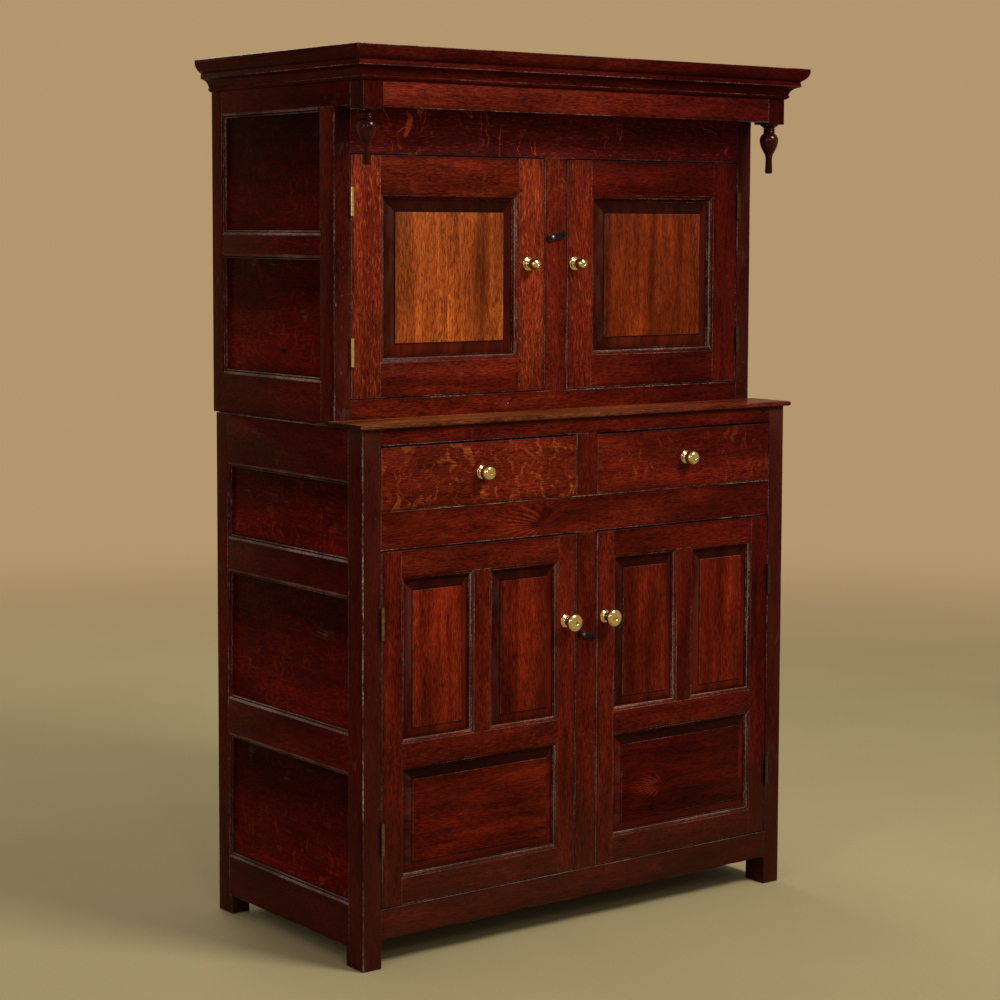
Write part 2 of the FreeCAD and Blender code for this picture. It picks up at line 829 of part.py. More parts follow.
def cornice_profile(place):
    """The cornice's outline; place turns a reach and a height into a point."""
    shares = cornice_outline_shares

    def point(name):
        reach, drop = shares[name]
        return place(reach * cornice_reach, overall_height - drop * cornice_height)

    back_top = place(0, overall_height)
    edges = [
        Part.makeLine(back_top, point("top")),
        Part.makeLine(point("top"), point("fillet")),
        Part.Arc(point("fillet"), point("ovolo_mid"), point("ovolo_end")).toShape(),
        Part.makeLine(point("ovolo_end"), point("step")),
        Part.makeLine(point("step"), point("fascia")),
        Part.makeLine(point("fascia"), point("cove_start")),
        Part.Arc(point("cove_start"), point("cove_mid"), point("cove_end")).toShape(),
        Part.makeLine(point("cove_end"), point("bead_start")),
        Part.Arc(point("bead_start"), point("bead_mid"), point("bead_end")).toShape(),
        Part.makeLine(point("bead_end"), back_top),
    ]
    return Part.Face(Part.Wire(edges))


def cornice():
    """A front length and two returns, mitred at the front corners."""
    reach = cornice_reach
    over = cut_overrun
    z0 = overall_height - cornice_height - over
    z1 = overall_height + over
    half = upper_half
    outer = half + reach
    y0 = canopy_front

    front = cornice_profile(lambda r, z: Vector(-outer, y0 - r, z)).extrude(Vector(2 * outer, 0, 0))
    plan = [
        Vector(-outer - over, y0 - reach - over, z0), Vector(outer + over, y0 - reach - over, z0),
        Vector(half, y0, z0), Vector(-half, y0, z0),
    ]
    front = front.common(polygon_face(plan).extrude(Vector(0, 0, z1 - z0)))

    depth = upper_back - y0 + reach
    side = cornice_profile(lambda r, z: Vector(half + r, y0 - reach, z)).extrude(Vector(0, depth, 0))
    plan = [
        Vector(half, y0, z0), Vector(outer + over, y0 - reach - over, z0),
        Vector(outer + over, upper_back, z0), Vector(half, upper_back, z0),
    ]
    side = side.common(polygon_face(plan).extrude(Vector(0, 0, z1 - z0)))
    return front, [mirrored(side), side]


def turned_places(points):
    """A smooth stretch of a turned outline, as a few short straight cuts of the chisel."""
    curve = Part.BSplineCurve()
    curve.interpolate([Vector(radius, length) for radius, length in points])
    return [(place.x, place.y) for place in curve.discretize(Number=turning_cuts + 1)]


def turned_outline(steps):
    """The corners of a turned outline: each step is a line (2 points) or a smooth stretch."""
    outline = []
    for step in steps:
        for place in step if len(step) == 2 else turned_places(step):
            repeated = outline and math.dist(outline[-1], place) < same_place
            if place[0] > 0 and not repeated:
                outline.append(place)
    return outline


def lathe(steps, origin, radial, along, flats):
    """A turned solid, drawn with flats round it."""
    other = along.cross(radial)
    rings = []
    for radius, length in turned_outline(steps):
        centre = origin + along * length
        turns = [2 * math.pi * index / flats for index in range(flats)]
        rings.append([
            centre + (radial * math.cos(turn) + other * math.sin(turn)) * radius for turn in turns
        ])
    faces = [polygon_face(rings[0]), polygon_face(rings[-1])]
    for near, far in zip(rings, rings[1:]):
        for index in range(flats):
            after = (index + 1) % flats
            faces.append(polygon_face([near[index], near[after], far[after], far[index]]))
    solid = Part.makeSolid(Part.makeShell(faces))
    return solid if solid.Volume > 0 else solid.reversed()


def scaled(shares, radius, length):
    return [(share[0] * radius, share[1] * length) for share in shares]


def pairs_of(points):
    return [points[i:i + 2] for i in range(len(points) - 1)]


def pendant(x, y):
    """A turned drop, with a spigot up into its block."""
    r, n = pendant_radius, pendant_length
    steps = [[(pendant_spigot_radius, -pendant_spigot_length), (pendant_spigot_radius, 0)]]
    steps += pairs_of(scaled(pendant_cap_shares, r, n))
    steps += pairs_of(scaled(pendant_bead_shares, r, n))
    steps.append(scaled(pendant_bulb_shares, r, n))
    steps.append(scaled(pendant_taper_shares, r, n))
    steps += pairs_of(scaled(pendant_stem_shares, r, n))
    steps += pairs_of(scaled(pendant_tip_shares, r, n))
    return lathe(steps, Vector(x, y, block_bottom), Vector(1, 0, 0), Vector(0, 0, -1), turning_flats)


def canopy(block_tenons):
    """Frieze board between two corner blocks, a pendant under each, and a boarded roof."""
    front = canopy_front
    inner = upper_half - block_size
    blocks = []
    pendants = []
    w0 = front + (frieze_thickness - front_tenon_thickness) / 2
    w1 = w0 + front_tenon_thickness
    low = frieze_bottom + block_tenon_shoulder
    high = roof_bottom - front_tenon_shoulder
    frieze = box(-inner, inner, front, front + frieze_thickness, frieze_bottom, roof_bottom)
    reach = inner + front_tenon_length
    frieze_tenons = [(-reach, -inner, w0, w1, low, high), (inner, reach, w0, w1, low, high)]
    for tenon in frieze_tenons:
        frieze = frieze.fuse(box(*tenon))
    for side in (-1, 1):
        x = side * (upper_half - block_size / 2)
        y = front + block_size / 2
        block = box(side * inner, side * upper_half, front, front + block_size, block_bottom, roof_bottom)
        hole = Part.makeCylinder(
            pendant_spigot_radius + running_clearance, pendant_spigot_length + panel_edge_play,
            Vector(x, y, block_bottom),
        )
        blocks.append(cut_all(block, tenon_cutters(block_tenons + frieze_tenons) + [hole]))
        pendants.append(pendant(x, y))
    front_moulding, returns = cornice()
    nodes["frieze_board"] = [frieze]
    nodes["pendant_blocks"] = blocks
    nodes["pendants"] = pendants
    nodes["roof_boards"] = board_row(
        -upper_half, upper_half, front, upper_back, roof_bottom, roof_top, floor_board_count, []
    )
    nodes["cornice_front"] = [front_moulding]
    nodes["cornice_sides"] = returns
    nodes["top_board"] = [top_board()]


# Shelves and drawer runners

def shelf(half, post_inner, front, back, post_depth, height):
    """A shelf of two boards on a bearer at each end, notched round the rear posts."""
    inner = half - side_frame_thickness
    y0 = front + shelf_front_setback
    y1 = back - back_board_thickness
    post_y = back - post_depth - board_play
    post_x = post_inner - board_play
    posts = [box(side * post_x, side * half, post_y, back, 0, overall_height) for side in (-1, 1)]
    top = height + shelf_thickness
    reach = inner - board_play
    middle = (y0 + y1) / 2
    boards = [cut_all(box(-reach, reach, a, b, height, top), posts) for a, b in ((y0, middle), (middle, y1))]
    face = inner - shelf_bearer_thickness
    low = height - shelf_bearer_height
    bearers = [box(side * inner, side * face, y0, post_y, low, height) for side in (-1, 1)]
    return boards, bearers


def shelves():
    lower_boards, lower_bearers = shelf(
        lower_half, lower_opening_half, lower_front, lower_back, rear_post_depth,
        lower_level(lower_shelf_height_share),
    )
    upper_boards, upper_bearers = shelf(
        upper_half, upper_opening_half, upper_front, upper_back, upper_rear_post_depth,
        upper_level(upper_shelf_height_share),
    )
    nodes["lower_shelf"] = lower_boards
    nodes["upper_shelf"] = upper_boards
    nodes["shelf_bearers"] = lower_bearers + upper_bearers


def drawer_runners():
    """A middle runner for both drawers and one at each side, each with a guide."""
    y0 = lower_front + front_frame_thickness
    y1 = lower_back - back_board_thickness - back_rail_thickness
    top = drawer_bottom
    runners = []
    middle = lower_muntin_half + drawer_gap + runner_width / 2
    base = box(-middle, middle, y0, y1, top - runner_height, top)
    guide_half = lower_muntin_half + drawer_gap - guide_gap
    guide = box(-guide_half, guide_half, y0, y1, top, top + runner_guide_height)
    runners.append(base.fuse(guide).removeSplitter())
    outer = lower_half - side_frame_thickness
    drawer_side = lower_opening_half - drawer_gap
    post_x = lower_opening_half - board_play
    front_post_back = lower_front + front_post_depth + board_play
    rear_post_front = lower_back - rear_post_depth - board_play
    for side in (-1, 1):
        base = box(side * (drawer_side - runner_width), side * outer, y0, y1, top - runner_height, top)
        guide = box(side * (drawer_side + guide_gap), side * outer, y0, y1, top, top + runner_guide_height)
        posts = (
            box(side * post_x, side * outer, y0, front_post_back, 0, lower_height),
            box(side * post_x, side * outer, rear_post_front, y1, 0, lower_height),
        )
        runners.append(cut_all(base.fuse(guide), posts))
    nodes["drawer_runners"] = runners


# Doors

def fielded_panel(face_y, opening, bevel):
    """A panel with a flat tongue, a sloping bevel and a raised field with a small step."""
    u0, u1, z0, z1 = opening
    back = face_y + door_panel_tongue_setback + door_panel_tongue
    tongue_front = face_y + door_panel_tongue_setback
    slope_top = face_y + field_recess + field_step
    g = groove_depth
    slab = box(u0 - g, u1 + g, tongue_front, back, z0 - g, z1 + g)
    slope = Part.makeWedge(
        u0 + bevel, slope_top, z0 + bevel, z0, u0,
        u1 - bevel, tongue_front, z1 - bevel, z1, u1,
    )
    field = box(u0 + bevel, u1 - bevel, face_y + field_recess, slope_top, z0 + bevel, z1 - bevel)
    return slab.fuse(slope).fuse(field).removeSplitter()


def door_frame(face_y, outer, openings, moulding_width, moulding_depth, stiles, rails, muntins, hinge_cuts):
    """Members of one door: stiles run through, rails and muntins are tenoned in."""
    face = ShowFace("front", face_y)
    frame = MouldedFrame(face, door_thickness, moulding_width, moulding_depth)
    for opening in openings:
        frame.add_opening(*opening, door_panel_tongue_setback, door_panel_tongue)
    x0, x1, z0, z1 = outer
    left, right = stiles
    w0 = door_tenon_setback
    w1 = w0 + door_tenon_thickness
    layers = []
    tenons = []
    bodies = []
    for low, high, below, above in rails:
        body, layer = frame.rail(left, right, low, high, below, above)
        a = low + door_tenon_shoulder + (groove_depth if below else 0)
        b = high - door_tenon_shoulder - (groove_depth if above else 0)
        ends = [
            face.limits(left - door_tenon_length, left, w0, w1, a, b),
            face.limits(right, right + door_tenon_length, w0, w1, a, b),
        ]
        for tenon in ends:
            body = body.fuse(box(*tenon))
        bodies.append(body)
        layers.append(layer)
        tenons += ends
    uprights = []
    muntin_layers = []
    muntin_tenons = []
    for u0, u1, low, high in muntins:
        body, layer = frame.muntin(u0, u1, low, high)
        a = u0 + groove_depth + door_tenon_shoulder / 2
        b = u1 - groove_depth - door_tenon_shoulder / 2
        ends = [
            face.limits(a, b, w0, w1, low - muntin_tenon_length, low),
            face.limits(a, b, w0, w1, high, high + muntin_tenon_length),
        ]
        for tenon in ends:
            body = body.fuse(box(*tenon))
        uprights.append(body)
        muntin_layers.append(layer)
        muntin_tenons += ends
    bodies = [cut_all(body, muntin_layers + tenon_cutters(muntin_tenons)) for body in bodies]
    for u0, u1 in ((x0, left), (right, x1)):
        stile = face.block(u0, u1, 0, door_thickness, z0, z1)
        stile = cut_all(stile, layers + tenon_cutters(tenons) + hinge_cuts)
        bodies.append(stile)
    return [frame.finish(body) for body in bodies + uprights]


def upper_door():
    """The right-hand upper door: one fielded panel in a moulded frame."""
    m = upper_moulding_width
    x0 = upper_muntin_half + door_gap
    x1 = upper_opening_half - door_gap
    z0 = upper_door_bottom + door_gap
    z1 = upper_door_top - upper_door_top_gap
    left = x0 + upper_lock_stile + m
    right = x1 - upper_hinge_stile - m
    low = z0 + upper_door_bottom_rail + m
    high = z1 - upper_door_top_rail - m
    openings = [(left, right, low, high)]
    rails = [(z0, low, False, True), (high, z1, True, False)]
    hinges = hinge_set(x1, upper_opening_half, upper_front, (z0, z1), upper_hinge_length, upper_hinge_inset)
    frame = door_frame(
        upper_front, (x0, x1, z0, z1), openings, m, upper_moulding_depth, (left, right), rails, [],
        hinges["cuts"],
    )
    panels = [fielded_panel(upper_front, opening, upper_bevel) for opening in openings]
    return frame, panels, hinges


def lower_door():
    """The right-hand lower door: two upright fielded panels over one long one."""
    m = lower_moulding_width
    x0 = lower_muntin_half + door_gap
    x1 = lower_opening_half - door_gap
    z0 = lower_door_bottom + door_gap
    z1 = lower_door_top - lower_door_top_gap
    left = x0 + lower_lock_stile + m
    right = x1 - lower_hinge_stile - m
    low = z0 + lower_door_bottom_rail + m
    middle_low = low - m + lower_panel_opening - m
    middle_high = middle_low + lower_door_middle_rail + 2 * m
    high = z1 - lower_door_top_rail - m
    centre = (left + right) / 2
    muntin_half = lower_door_muntin_face / 2 + m
    openings = [
        (left, right, low, middle_low),
        (left, centre - muntin_half, middle_high, high),
        (centre + muntin_half, right, middle_high, high),
    ]
    rails = [
        (z0, low, False, True), (middle_low, middle_high, True, True), (high, z1, True, False),
    ]
    muntins = [(centre - muntin_half, centre + muntin_half, middle_high, high)]
    hinges = hinge_set(x1, lower_opening_half, lower_front, (z0, z1), lower_hinge_length, lower_hinge_inset)
    frame = door_frame(
        lower_front, (x0, x1, z0, z1), openings, m, lower_moulding_depth, (left, right), rails, muntins,
        hinges["cuts"],
    )
    panels = [fielded_panel(lower_front, opening, lower_bevel) for opening in openings]
    return frame, panels, hinges


# Butt hinges

def hinge_axis(door_edge, post_edge, face_y):
    """Where a door turns: in the middle of its gap, just proud of the face."""
    return (door_edge + post_edge) / 2, face_y - hinge_knuckle_radius - hinge_standoff


def hinge_set(door_edge, post_edge, face_y, heights, length, inset):
    """Both hinges of a right-hand door: leaves, the post's with its pin, and the cuts they need."""
    axis_x, axis_y = hinge_axis(door_edge, post_edge, face_y)
    z0, z1 = heights
    parts = {"door": [], "post": [], "cuts": [], "post_cuts": []}
    for middle in (z0 + inset, z1 - inset):
        low = middle - length / 2
        knuckle_length = length / hinge_knuckle_count
        bore = Part.makeCylinder(hinge_pin_radius + running_clearance, length, Vector(axis_x, axis_y, low))
        leaf_end = face_y + hinge_leaf_width
        door_leaf = box(door_edge - hinge_leaf_thickness, door_edge, axis_y, leaf_end, low, low + length)
        post_leaf = box(post_edge, post_edge + hinge_leaf_thickness, axis_y, leaf_end, low, low + length)
        clear = hinge_knuckle_radius + knuckle_clearance
        for index in range(hinge_knuckle_count):
            start = low + index * knuckle_length
            end = start + knuckle_length
            gap_low = knuckle_clearance / 2 if index > 0 else 0
            gap_high = knuckle_clearance / 2 if index < hinge_knuckle_count - 1 else 0
            foot = Vector(axis_x, axis_y, start + gap_low)
            rise = knuckle_length - gap_low - gap_high
            side = [(hinge_knuckle_radius, 0), (hinge_knuckle_radius, rise)]
            knuckle = lathe([side], foot, Vector(1, 0, 0), Vector(0, 0, 1), knuckle_flats)
            zone = box(axis_x - clear, axis_x + clear, axis_y - clear, axis_y + clear, start, end)
            if index % 2:
                post_leaf = post_leaf.cut(zone)
                door_leaf = door_leaf.fuse(knuckle)
            else:
                door_leaf = door_leaf.cut(zone)
                post_leaf = post_leaf.fuse(knuckle)
        pin = Part.makeCylinder(hinge_pin_radius, length, Vector(axis_x, axis_y, low))
        parts["door"].append(cut_all(door_leaf, [bore]))
        parts["post"].append(post_leaf.fuse(pin).removeSplitter())
        seat = (
            face_y - cut_overrun, leaf_end + tenon_clearance,
            low - tenon_clearance, low + length + tenon_clearance,
        )
        sunk = hinge_leaf_thickness + tenon_clearance
        parts["cuts"].append(box(door_edge - sunk, door_edge + cut_overrun, *seat))
        parts["post_cuts"].append(box(post_edge - cut_overrun, post_edge + sunk, *seat))
    return parts


def doors():
    """Each door is made for the right and mirrored for the left."""
    post_leaves = []
    for level, make_door in (("upper", upper_door), ("lower", lower_door)):
        frame, panels, hinges = make_door()
        post_node = level + "_posts"
        panel_name = "panel" if len(panels) == 1 else "panels"
        nodes[level + "_right_door_frame"] = frame
        nodes[level + "_left_door_frame"] = [mirrored(member) for member in frame]
        nodes[level + "_right_door_" + panel_name] = panels
        nodes[level + "_left_door_" + panel_name] = [mirrored(panel) for panel in panels]
        nodes[level + "_right_door_knob_and_hinges"] = hinges["door"]
        nodes[level + "_left_door_knob_and_hinges"] = [mirrored(leaf) for leaf in hinges["door"]]
        post_leaves += hinges["post"] + [mirrored(leaf) for leaf in hinges["post"]]
        cuts = hinges["post_cuts"] + [mirrored(cut) for cut in hinges["post_cuts"]]
        nodes[post_node] = [cut_all(post, cuts) for post in nodes[post_node]]
    nodes["post_hinge_leaves"] = post_leaves


# Drawers

def drawer():
    """The right-hand drawer: a rebated front, two sides, a back and a bottom."""
    x0 = lower_muntin_half + drawer_gap
    x1 = lower_opening_half - drawer_gap
    z0 = drawer_bottom + drawer_bottom_gap
    z1 = drawer_top - drawer_top_gap
    front_back = lower_front + drawer_front_thickness
    front = box(x0, x1, lower_front, front_back, z0, z1)
    rebate_y = front_back - drawer_rebate
    bottom_z = drawer_bottom + drawer_lift
    bottom_top = bottom_z + drawer_bottom_thickness
    side_top = z1 - drawer_side_drop
    rear = lower_back - back_board_thickness - back_rail_thickness - drawer_back_gap
    t = drawer_side_thickness
    seats = [
        box(x0 - cut_overrun, x0 + t, rebate_y, front_back + cut_overrun, 0, overall_height),
        box(x1 - t, x1 + cut_overrun, rebate_y, front_back + cut_overrun, 0, overall_height),
        box(x0 - cut_overrun, x1 + cut_overrun, rebate_y, front_back + cut_overrun, 0, bottom_top),
    ]
    front = cut_all(front, seats)
    sides = [
        box(x0, x0 + t, rebate_y, rear, bottom_top, side_top),
        box(x1 - t, x1, rebate_y, rear, bottom_top, side_top),
    ]
    back = box(x0 + t, x1 - t, rear - t, rear, bottom_top, side_top)
    bottom = box(x0, x1, rebate_y, rear, bottom_z, bottom_top)
    return front, sides + [back, bottom]


def drawers():
    front, carcase = drawer()
    nodes["right_drawer_front"] = [front]
    nodes["left_drawer_front"] = [mirrored(front)]
    nodes["right_drawer_box"] = carcase
    nodes["left_drawer_box"] = [mirrored(piece) for piece in carcase]


# Knobs

def knob(x, y, z, shares, radius, reach):
    """A turned brass knob on its rose, with a stem into the wood."""
    steps = [[(knob_stem_radius, -knob_stem_length), (knob_stem_radius, 0)]]
    for name, points in shares.items():
        points = scaled(points, radius, reach)
        steps += [points] if name == "bulb" else pairs_of(points)
    return lathe(steps, Vector(x, y, z), Vector(1, 0, 0), Vector(0, -1, 0), turning_flats)


def fit_knob(knob_node, board_node, x, y, z, shares, radius, reach):
    """Set a knob on a board, and bore the board for its stem."""
    nodes.setdefault(knob_node, []).append(knob(x, y, z, shares, radius, reach))
    depth = knob_stem_length + panel_edge_play
    hole = Part.makeCylinder(knob_stem_radius + running_clearance, depth, Vector(x, y, z), Vector(0, 1, 0))
    nodes[board_node] = [
        cut_all(member, [hole]) if member.BoundBox.intersect(hole.BoundBox) else member
        for member in nodes[board_node]
    ]


def knobs():
    """A knob for each door, near its lock edge, and one in the middle of each drawer."""
    upper_edge = upper_muntin_half + door_gap
    lower_edge = lower_muntin_half + door_gap
    upper_z = upper_level(upper_knob_height_share)
    lower_z = lower_level(lower_knob_height_share)
    upper = (upper_front, upper_z, upper_knob_shares, upper_knob_radius, upper_knob_reach)
    lower = (lower_front, lower_z, lower_knob_shares, lower_knob_radius, lower_knob_reach)
    door_places = (
        ("upper_left_door", -upper_edge - upper_left_knob_inset, upper),
        ("upper_right_door", upper_edge + upper_right_knob_inset, upper),
        ("lower_left_door", -lower_edge - lower_left_knob_inset, lower),
        ("lower_right_door", lower_edge + lower_right_knob_inset, lower),
    )
    for door, x, details in door_places:
        fit_knob(door + "_knob_and_hinges", door + "_frame", x, *details)

    middle = (lower_muntin_half + lower_opening_half) / 2
    height = (drawer_bottom + drawer_top) / 2
    for name, x in (("left_drawer", -middle), ("right_drawer", middle)):
        fit_knob(
            name + "_knob", name + "_front", x, lower_front, height,
            drawer_knob_shares, drawer_knob_radius, drawer_knob_reach,
        )


# Turn buttons

def turn_button(face_y, height, length, width, tilt):
    """A strip that turns on a nail near one end, with a stud to push it by."""
    pivot = button_pivot_share * length
    half = width / 2
    end = button_end_share * width
    reach = length / 2
    back = face_y - button_standoff
    outline = [
        (-reach + end, -half), (reach - end, -half), (reach, -half + end), (reach, half - end),
        (reach - end, half), (-reach + end, half), (-reach, half - end), (-reach, -half + end),
    ]
    strip = polygon_face([Vector(x, back, z) for x, z in outline]).extrude(Vector(0, -button_thickness, 0))
    stud_x = button_stud_share * reach
    stud_face = back - button_thickness
    crown = scaled(nail_crown_shares, button_stud_radius, button_head_height)
    stud_seat = Vector(stud_x, stud_face, 0)
    stud = lathe(pairs_of(crown), stud_seat, Vector(1, 0, 0), Vector(0, -1, 0), nail_flats)
    shank_r = button_nail_radius
    bore = Part.makeCylinder(
        shank_r + running_clearance, button_thickness + 2 * cut_overrun,
        Vector(-pivot, stud_face - cut_overrun, 0), Vector(0, 1, 0),
    )
    strip = cut_all(strip.fuse(stud), [bore])
    nail = Part.makeCylinder(
        shank_r, button_nail_depth + button_thickness + 2 * button_standoff,
        Vector(-pivot, stud_face - button_standoff, 0), Vector(0, 1, 0),
    )
    head_seat = Vector(-pivot, stud_face - button_standoff, 0)
    crown = scaled(nail_crown_shares, button_head_radius, button_head_height)
    head = lathe(pairs_of(crown), head_seat, Vector(1, 0, 0), Vector(0, -1, 0), nail_flats)
    nail = nail.fuse(head)
    for piece in (strip, nail):
        piece.rotate(Vector(0, 0, 0), Vector(0, -1, 0), tilt)
        piece.translate(Vector(0, 0, height))
    angle = math.radians(tilt)
    nail_x = -pivot * math.cos(angle)
    nail_z = height - pivot * math.sin(angle)
    mouth = Vector(nail_x, face_y, nail_z)
    depth = button_nail_depth + panel_edge_play
    hole = Part.makeCylinder(shank_r + running_clearance, depth, mouth, Vector(0, 1, 0))
    return strip, nail, hole


def turn_buttons():
    nails = []
    settings = (
        ("upper_turn_button", "upper_door_muntin", upper_front, upper_level(upper_button_height_share),
         upper_button_length, upper_button_width, upper_button_tilt),
        ("lower_turn_button", "lower_door_muntin", lower_front, lower_level(lower_button_height_share),
         lower_button_length, lower_button_width, lower_button_tilt),
    )
    for name, muntin, face_y, height, length, width, tilt in settings:
        strip, nail, hole = turn_button(face_y, height, length, width, tilt)
        nodes[name] = [strip]
        nails.append(nail)
        nodes[muntin] = [cut_all(member, [hole]) for member in nodes[muntin]]
    nodes["button_nails"] = nails


def write_nodes():
    os.makedirs("parts", exist_ok=True)
    for name, solids in nodes.items():
        shape = solids[0] if len(solids) == 1 else Part.makeCompound(solids)
        shape.exportStep("parts/" + name + ".step")


lower_case()
canopy(upper_case())
shelves()
drawer_runners()
doors()
drawers()
knobs()
turn_buttons()
write_nodes()
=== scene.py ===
"""Court cupboard in dark waxed oak: two joined cases, the upper one set back under a canopy."""
import math
import random
import bmesh
import bpy
from mathutils import Matrix, Vector


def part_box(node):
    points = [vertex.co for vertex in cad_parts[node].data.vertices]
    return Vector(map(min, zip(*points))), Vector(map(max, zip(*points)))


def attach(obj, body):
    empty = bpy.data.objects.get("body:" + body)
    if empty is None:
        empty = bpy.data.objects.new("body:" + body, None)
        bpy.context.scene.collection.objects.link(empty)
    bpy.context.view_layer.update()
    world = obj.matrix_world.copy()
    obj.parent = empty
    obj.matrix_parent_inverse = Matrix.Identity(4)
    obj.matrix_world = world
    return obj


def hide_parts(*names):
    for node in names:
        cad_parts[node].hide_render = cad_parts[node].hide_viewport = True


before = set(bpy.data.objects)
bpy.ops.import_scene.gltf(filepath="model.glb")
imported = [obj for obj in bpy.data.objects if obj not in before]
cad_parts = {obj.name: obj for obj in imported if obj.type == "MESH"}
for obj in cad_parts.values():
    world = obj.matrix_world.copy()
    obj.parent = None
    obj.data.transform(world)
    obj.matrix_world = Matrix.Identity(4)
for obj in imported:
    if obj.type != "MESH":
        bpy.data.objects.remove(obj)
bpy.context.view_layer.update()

# The lower corner posts: four oak posts that run down to the floor as feet.
# Each is one riven length, planed square, with mortises for the rails.  Years of
# wax and polish have turned the oak a dark red-brown, darkest in the corners, where painted shade is laid
# over the old wax.
random_seed = "joined oak"
arris_width, least_arris, arris_steps = 0.0007, 0.0002, 2
outline_width, least_outline, outline_steps = 0.0013, 0.0003, 3
post_outline_width, top_outline_width = 0.0022, 0.0024
smooth_angle = math.radians(32)
no_knot = (9.0, 9.0, 0.01)
floor_brown = (0.042, 0.0150, 0.0070, 1)
painted_front_brown = (0.068, 0.0160, 0.0085, 1)
painted_reflection_grey = (0.050, 0.028, 0.018, 1)
bruise_grey = (0.07, 0.05, 0.04, 1)


def fill(tree, node, sockets):
    """Links or sets a node's sockets."""
    for name, value in sockets.items():
        if isinstance(value, Wire):
            value = value.socket
        if isinstance(value, bpy.types.NodeSocket):
            tree.links.new(value, node.inputs[name])
        else:
            node.inputs[name].default_value = value


def new_node(tree, kind, settings, sockets):
    """Adds a node with its settings, and its sockets linked or set."""
    made = tree.nodes.new(kind)
    for name, value in (settings or {}).items():
        setattr(made, name, value)
    fill(tree, made, sockets or {})
    return made.outputs


class Wire:
    """A socket of a material's tree: sums and products on it add their Math nodes."""

    def __init__(self, tree, socket=None):
        self.tree = tree
        self.socket = socket

    def node(self, kind, settings=None, sockets=None, out=0):
        return Wire(self.tree, new_node(self.tree, "ShaderNode" + kind, settings, sockets)[out])

    def maths(self, operation, *values):
        return self.node("Math", {"operation": operation}, dict(enumerate(values)))

    def __add__(self, other):
        return self.maths("ADD", self, other)

    def __radd__(self, other):
        return self.maths("ADD", other, self)

    def __sub__(self, other):
        return self.maths("SUBTRACT", self, other)

    def __rsub__(self, other):
        return self.maths("SUBTRACT", other, self)

    def __mul__(self, other):
        return self.maths("MULTIPLY", self, other)

    def __rmul__(self, other):
        return self.maths("MULTIPLY", other, self)

    def __truediv__(self, other):
        return self.maths("DIVIDE", self, other)

    def __abs__(self):
        return self.maths("ABSOLUTE", self)

    def lower_of(self, other):
        return self.maths("MINIMUM", self, other)

    def higher_of(self, other):
        return self.maths("MAXIMUM", self, other)

    def rise(self, start, end):
        """0 below start, 1 above end, and smooth between."""
        settings = {"interpolation_type": "SMOOTHSTEP", "clamp": True}
        return self.node("MapRange", settings, {"Value": self, "From Min": start, "From Max": end})

    def stretched(self, scale):
        return self.node("VectorMath", {"operation": "MULTIPLY"}, {0: self, 1: scale})

    def shifted(self, other):
        return self.node("VectorMath", {"operation": "ADD"}, {0: self, 1: other})

    def part(self, axis):
        return self.node("SeparateXYZ", None, {0: self}, out=axis)

    def parts(self):
        return [self.part(axis) for axis in range(3)]

    def noise(self, scale, detail=3.0, roughness=0.55, distortion=0.0, out=0):
        sockets = {
            "Vector": self.stretched(scale), "Scale": 1.0, "Detail": detail,
            "Roughness": roughness, "Distortion": distortion,
        }
        return self.node("TexNoise", None, sockets, out=out)

    def marks(self, along, across, low, high, **looks):
        """Marks, so many a metre along the grain and across it: 1 on a mark and 0 between marks."""
        return self.noise((along, across, across), **looks).rise(low, high)

    def mixed(self, first, second):
        """Two colours mixed by this value."""
        return self.node("Mix", {"data_type": "RGBA"}, {0: self, 6: first, 7: second}, out=2)

    def tinted(self, tint):
        """This colour times another."""
        settings = {"data_type": "RGBA", "blend_type": "MULTIPLY"}
        return self.node("Mix", settings, {0: 1.0, 6: self, 7: tint}, out=2)


def new_finish(name):
    material = bpy.data.materials.new(name)
    material.use_nodes = True
    tree = material.node_tree
    return material, Wire(tree), tree.nodes["Principled BSDF"]


def round_knots(start, wood, knot, patina):
    """The grain as it wanders and swings round a knot, the light fan beside the knot, and its dark core."""
    wander = wood.noise((2.6, 9.0, 9.0), detail=2.0, out=1).shifted((-0.5, -0.5, -0.5))
    knot_x, knot_y, knot_r = knot.parts()
    along, aside = knot_x / (knot_r * 2.6), knot_y / knot_r
    away = along * along + aside * aside
    pull = start.maths("EXPONENT", away * -0.45)
    swing = start.node("CombineXYZ", None, {0: pull * 0.02, 1: pull * knot_r * 1.9, 2: 0.0})
    grain = wood.shifted(wander.stretched((0.0, 0.026, 0.026))).shifted(swing)
    turn = start.maths("ARCTAN2", knot_y, knot_r * 0.5 - knot_x * 0.30) * 25.0 + patina * 7.0
    fan = start.maths("SINE", turn).rise(-0.2, 0.9) * (1.0 - start.maths("SQRT", away).rise(0.6, 3.0))
    fan = fan * (1.0 - (knot_x / knot_r).rise(-0.5, 1.5))
    return grain, fan, start.maths("EXPONENT", away * -6.0)


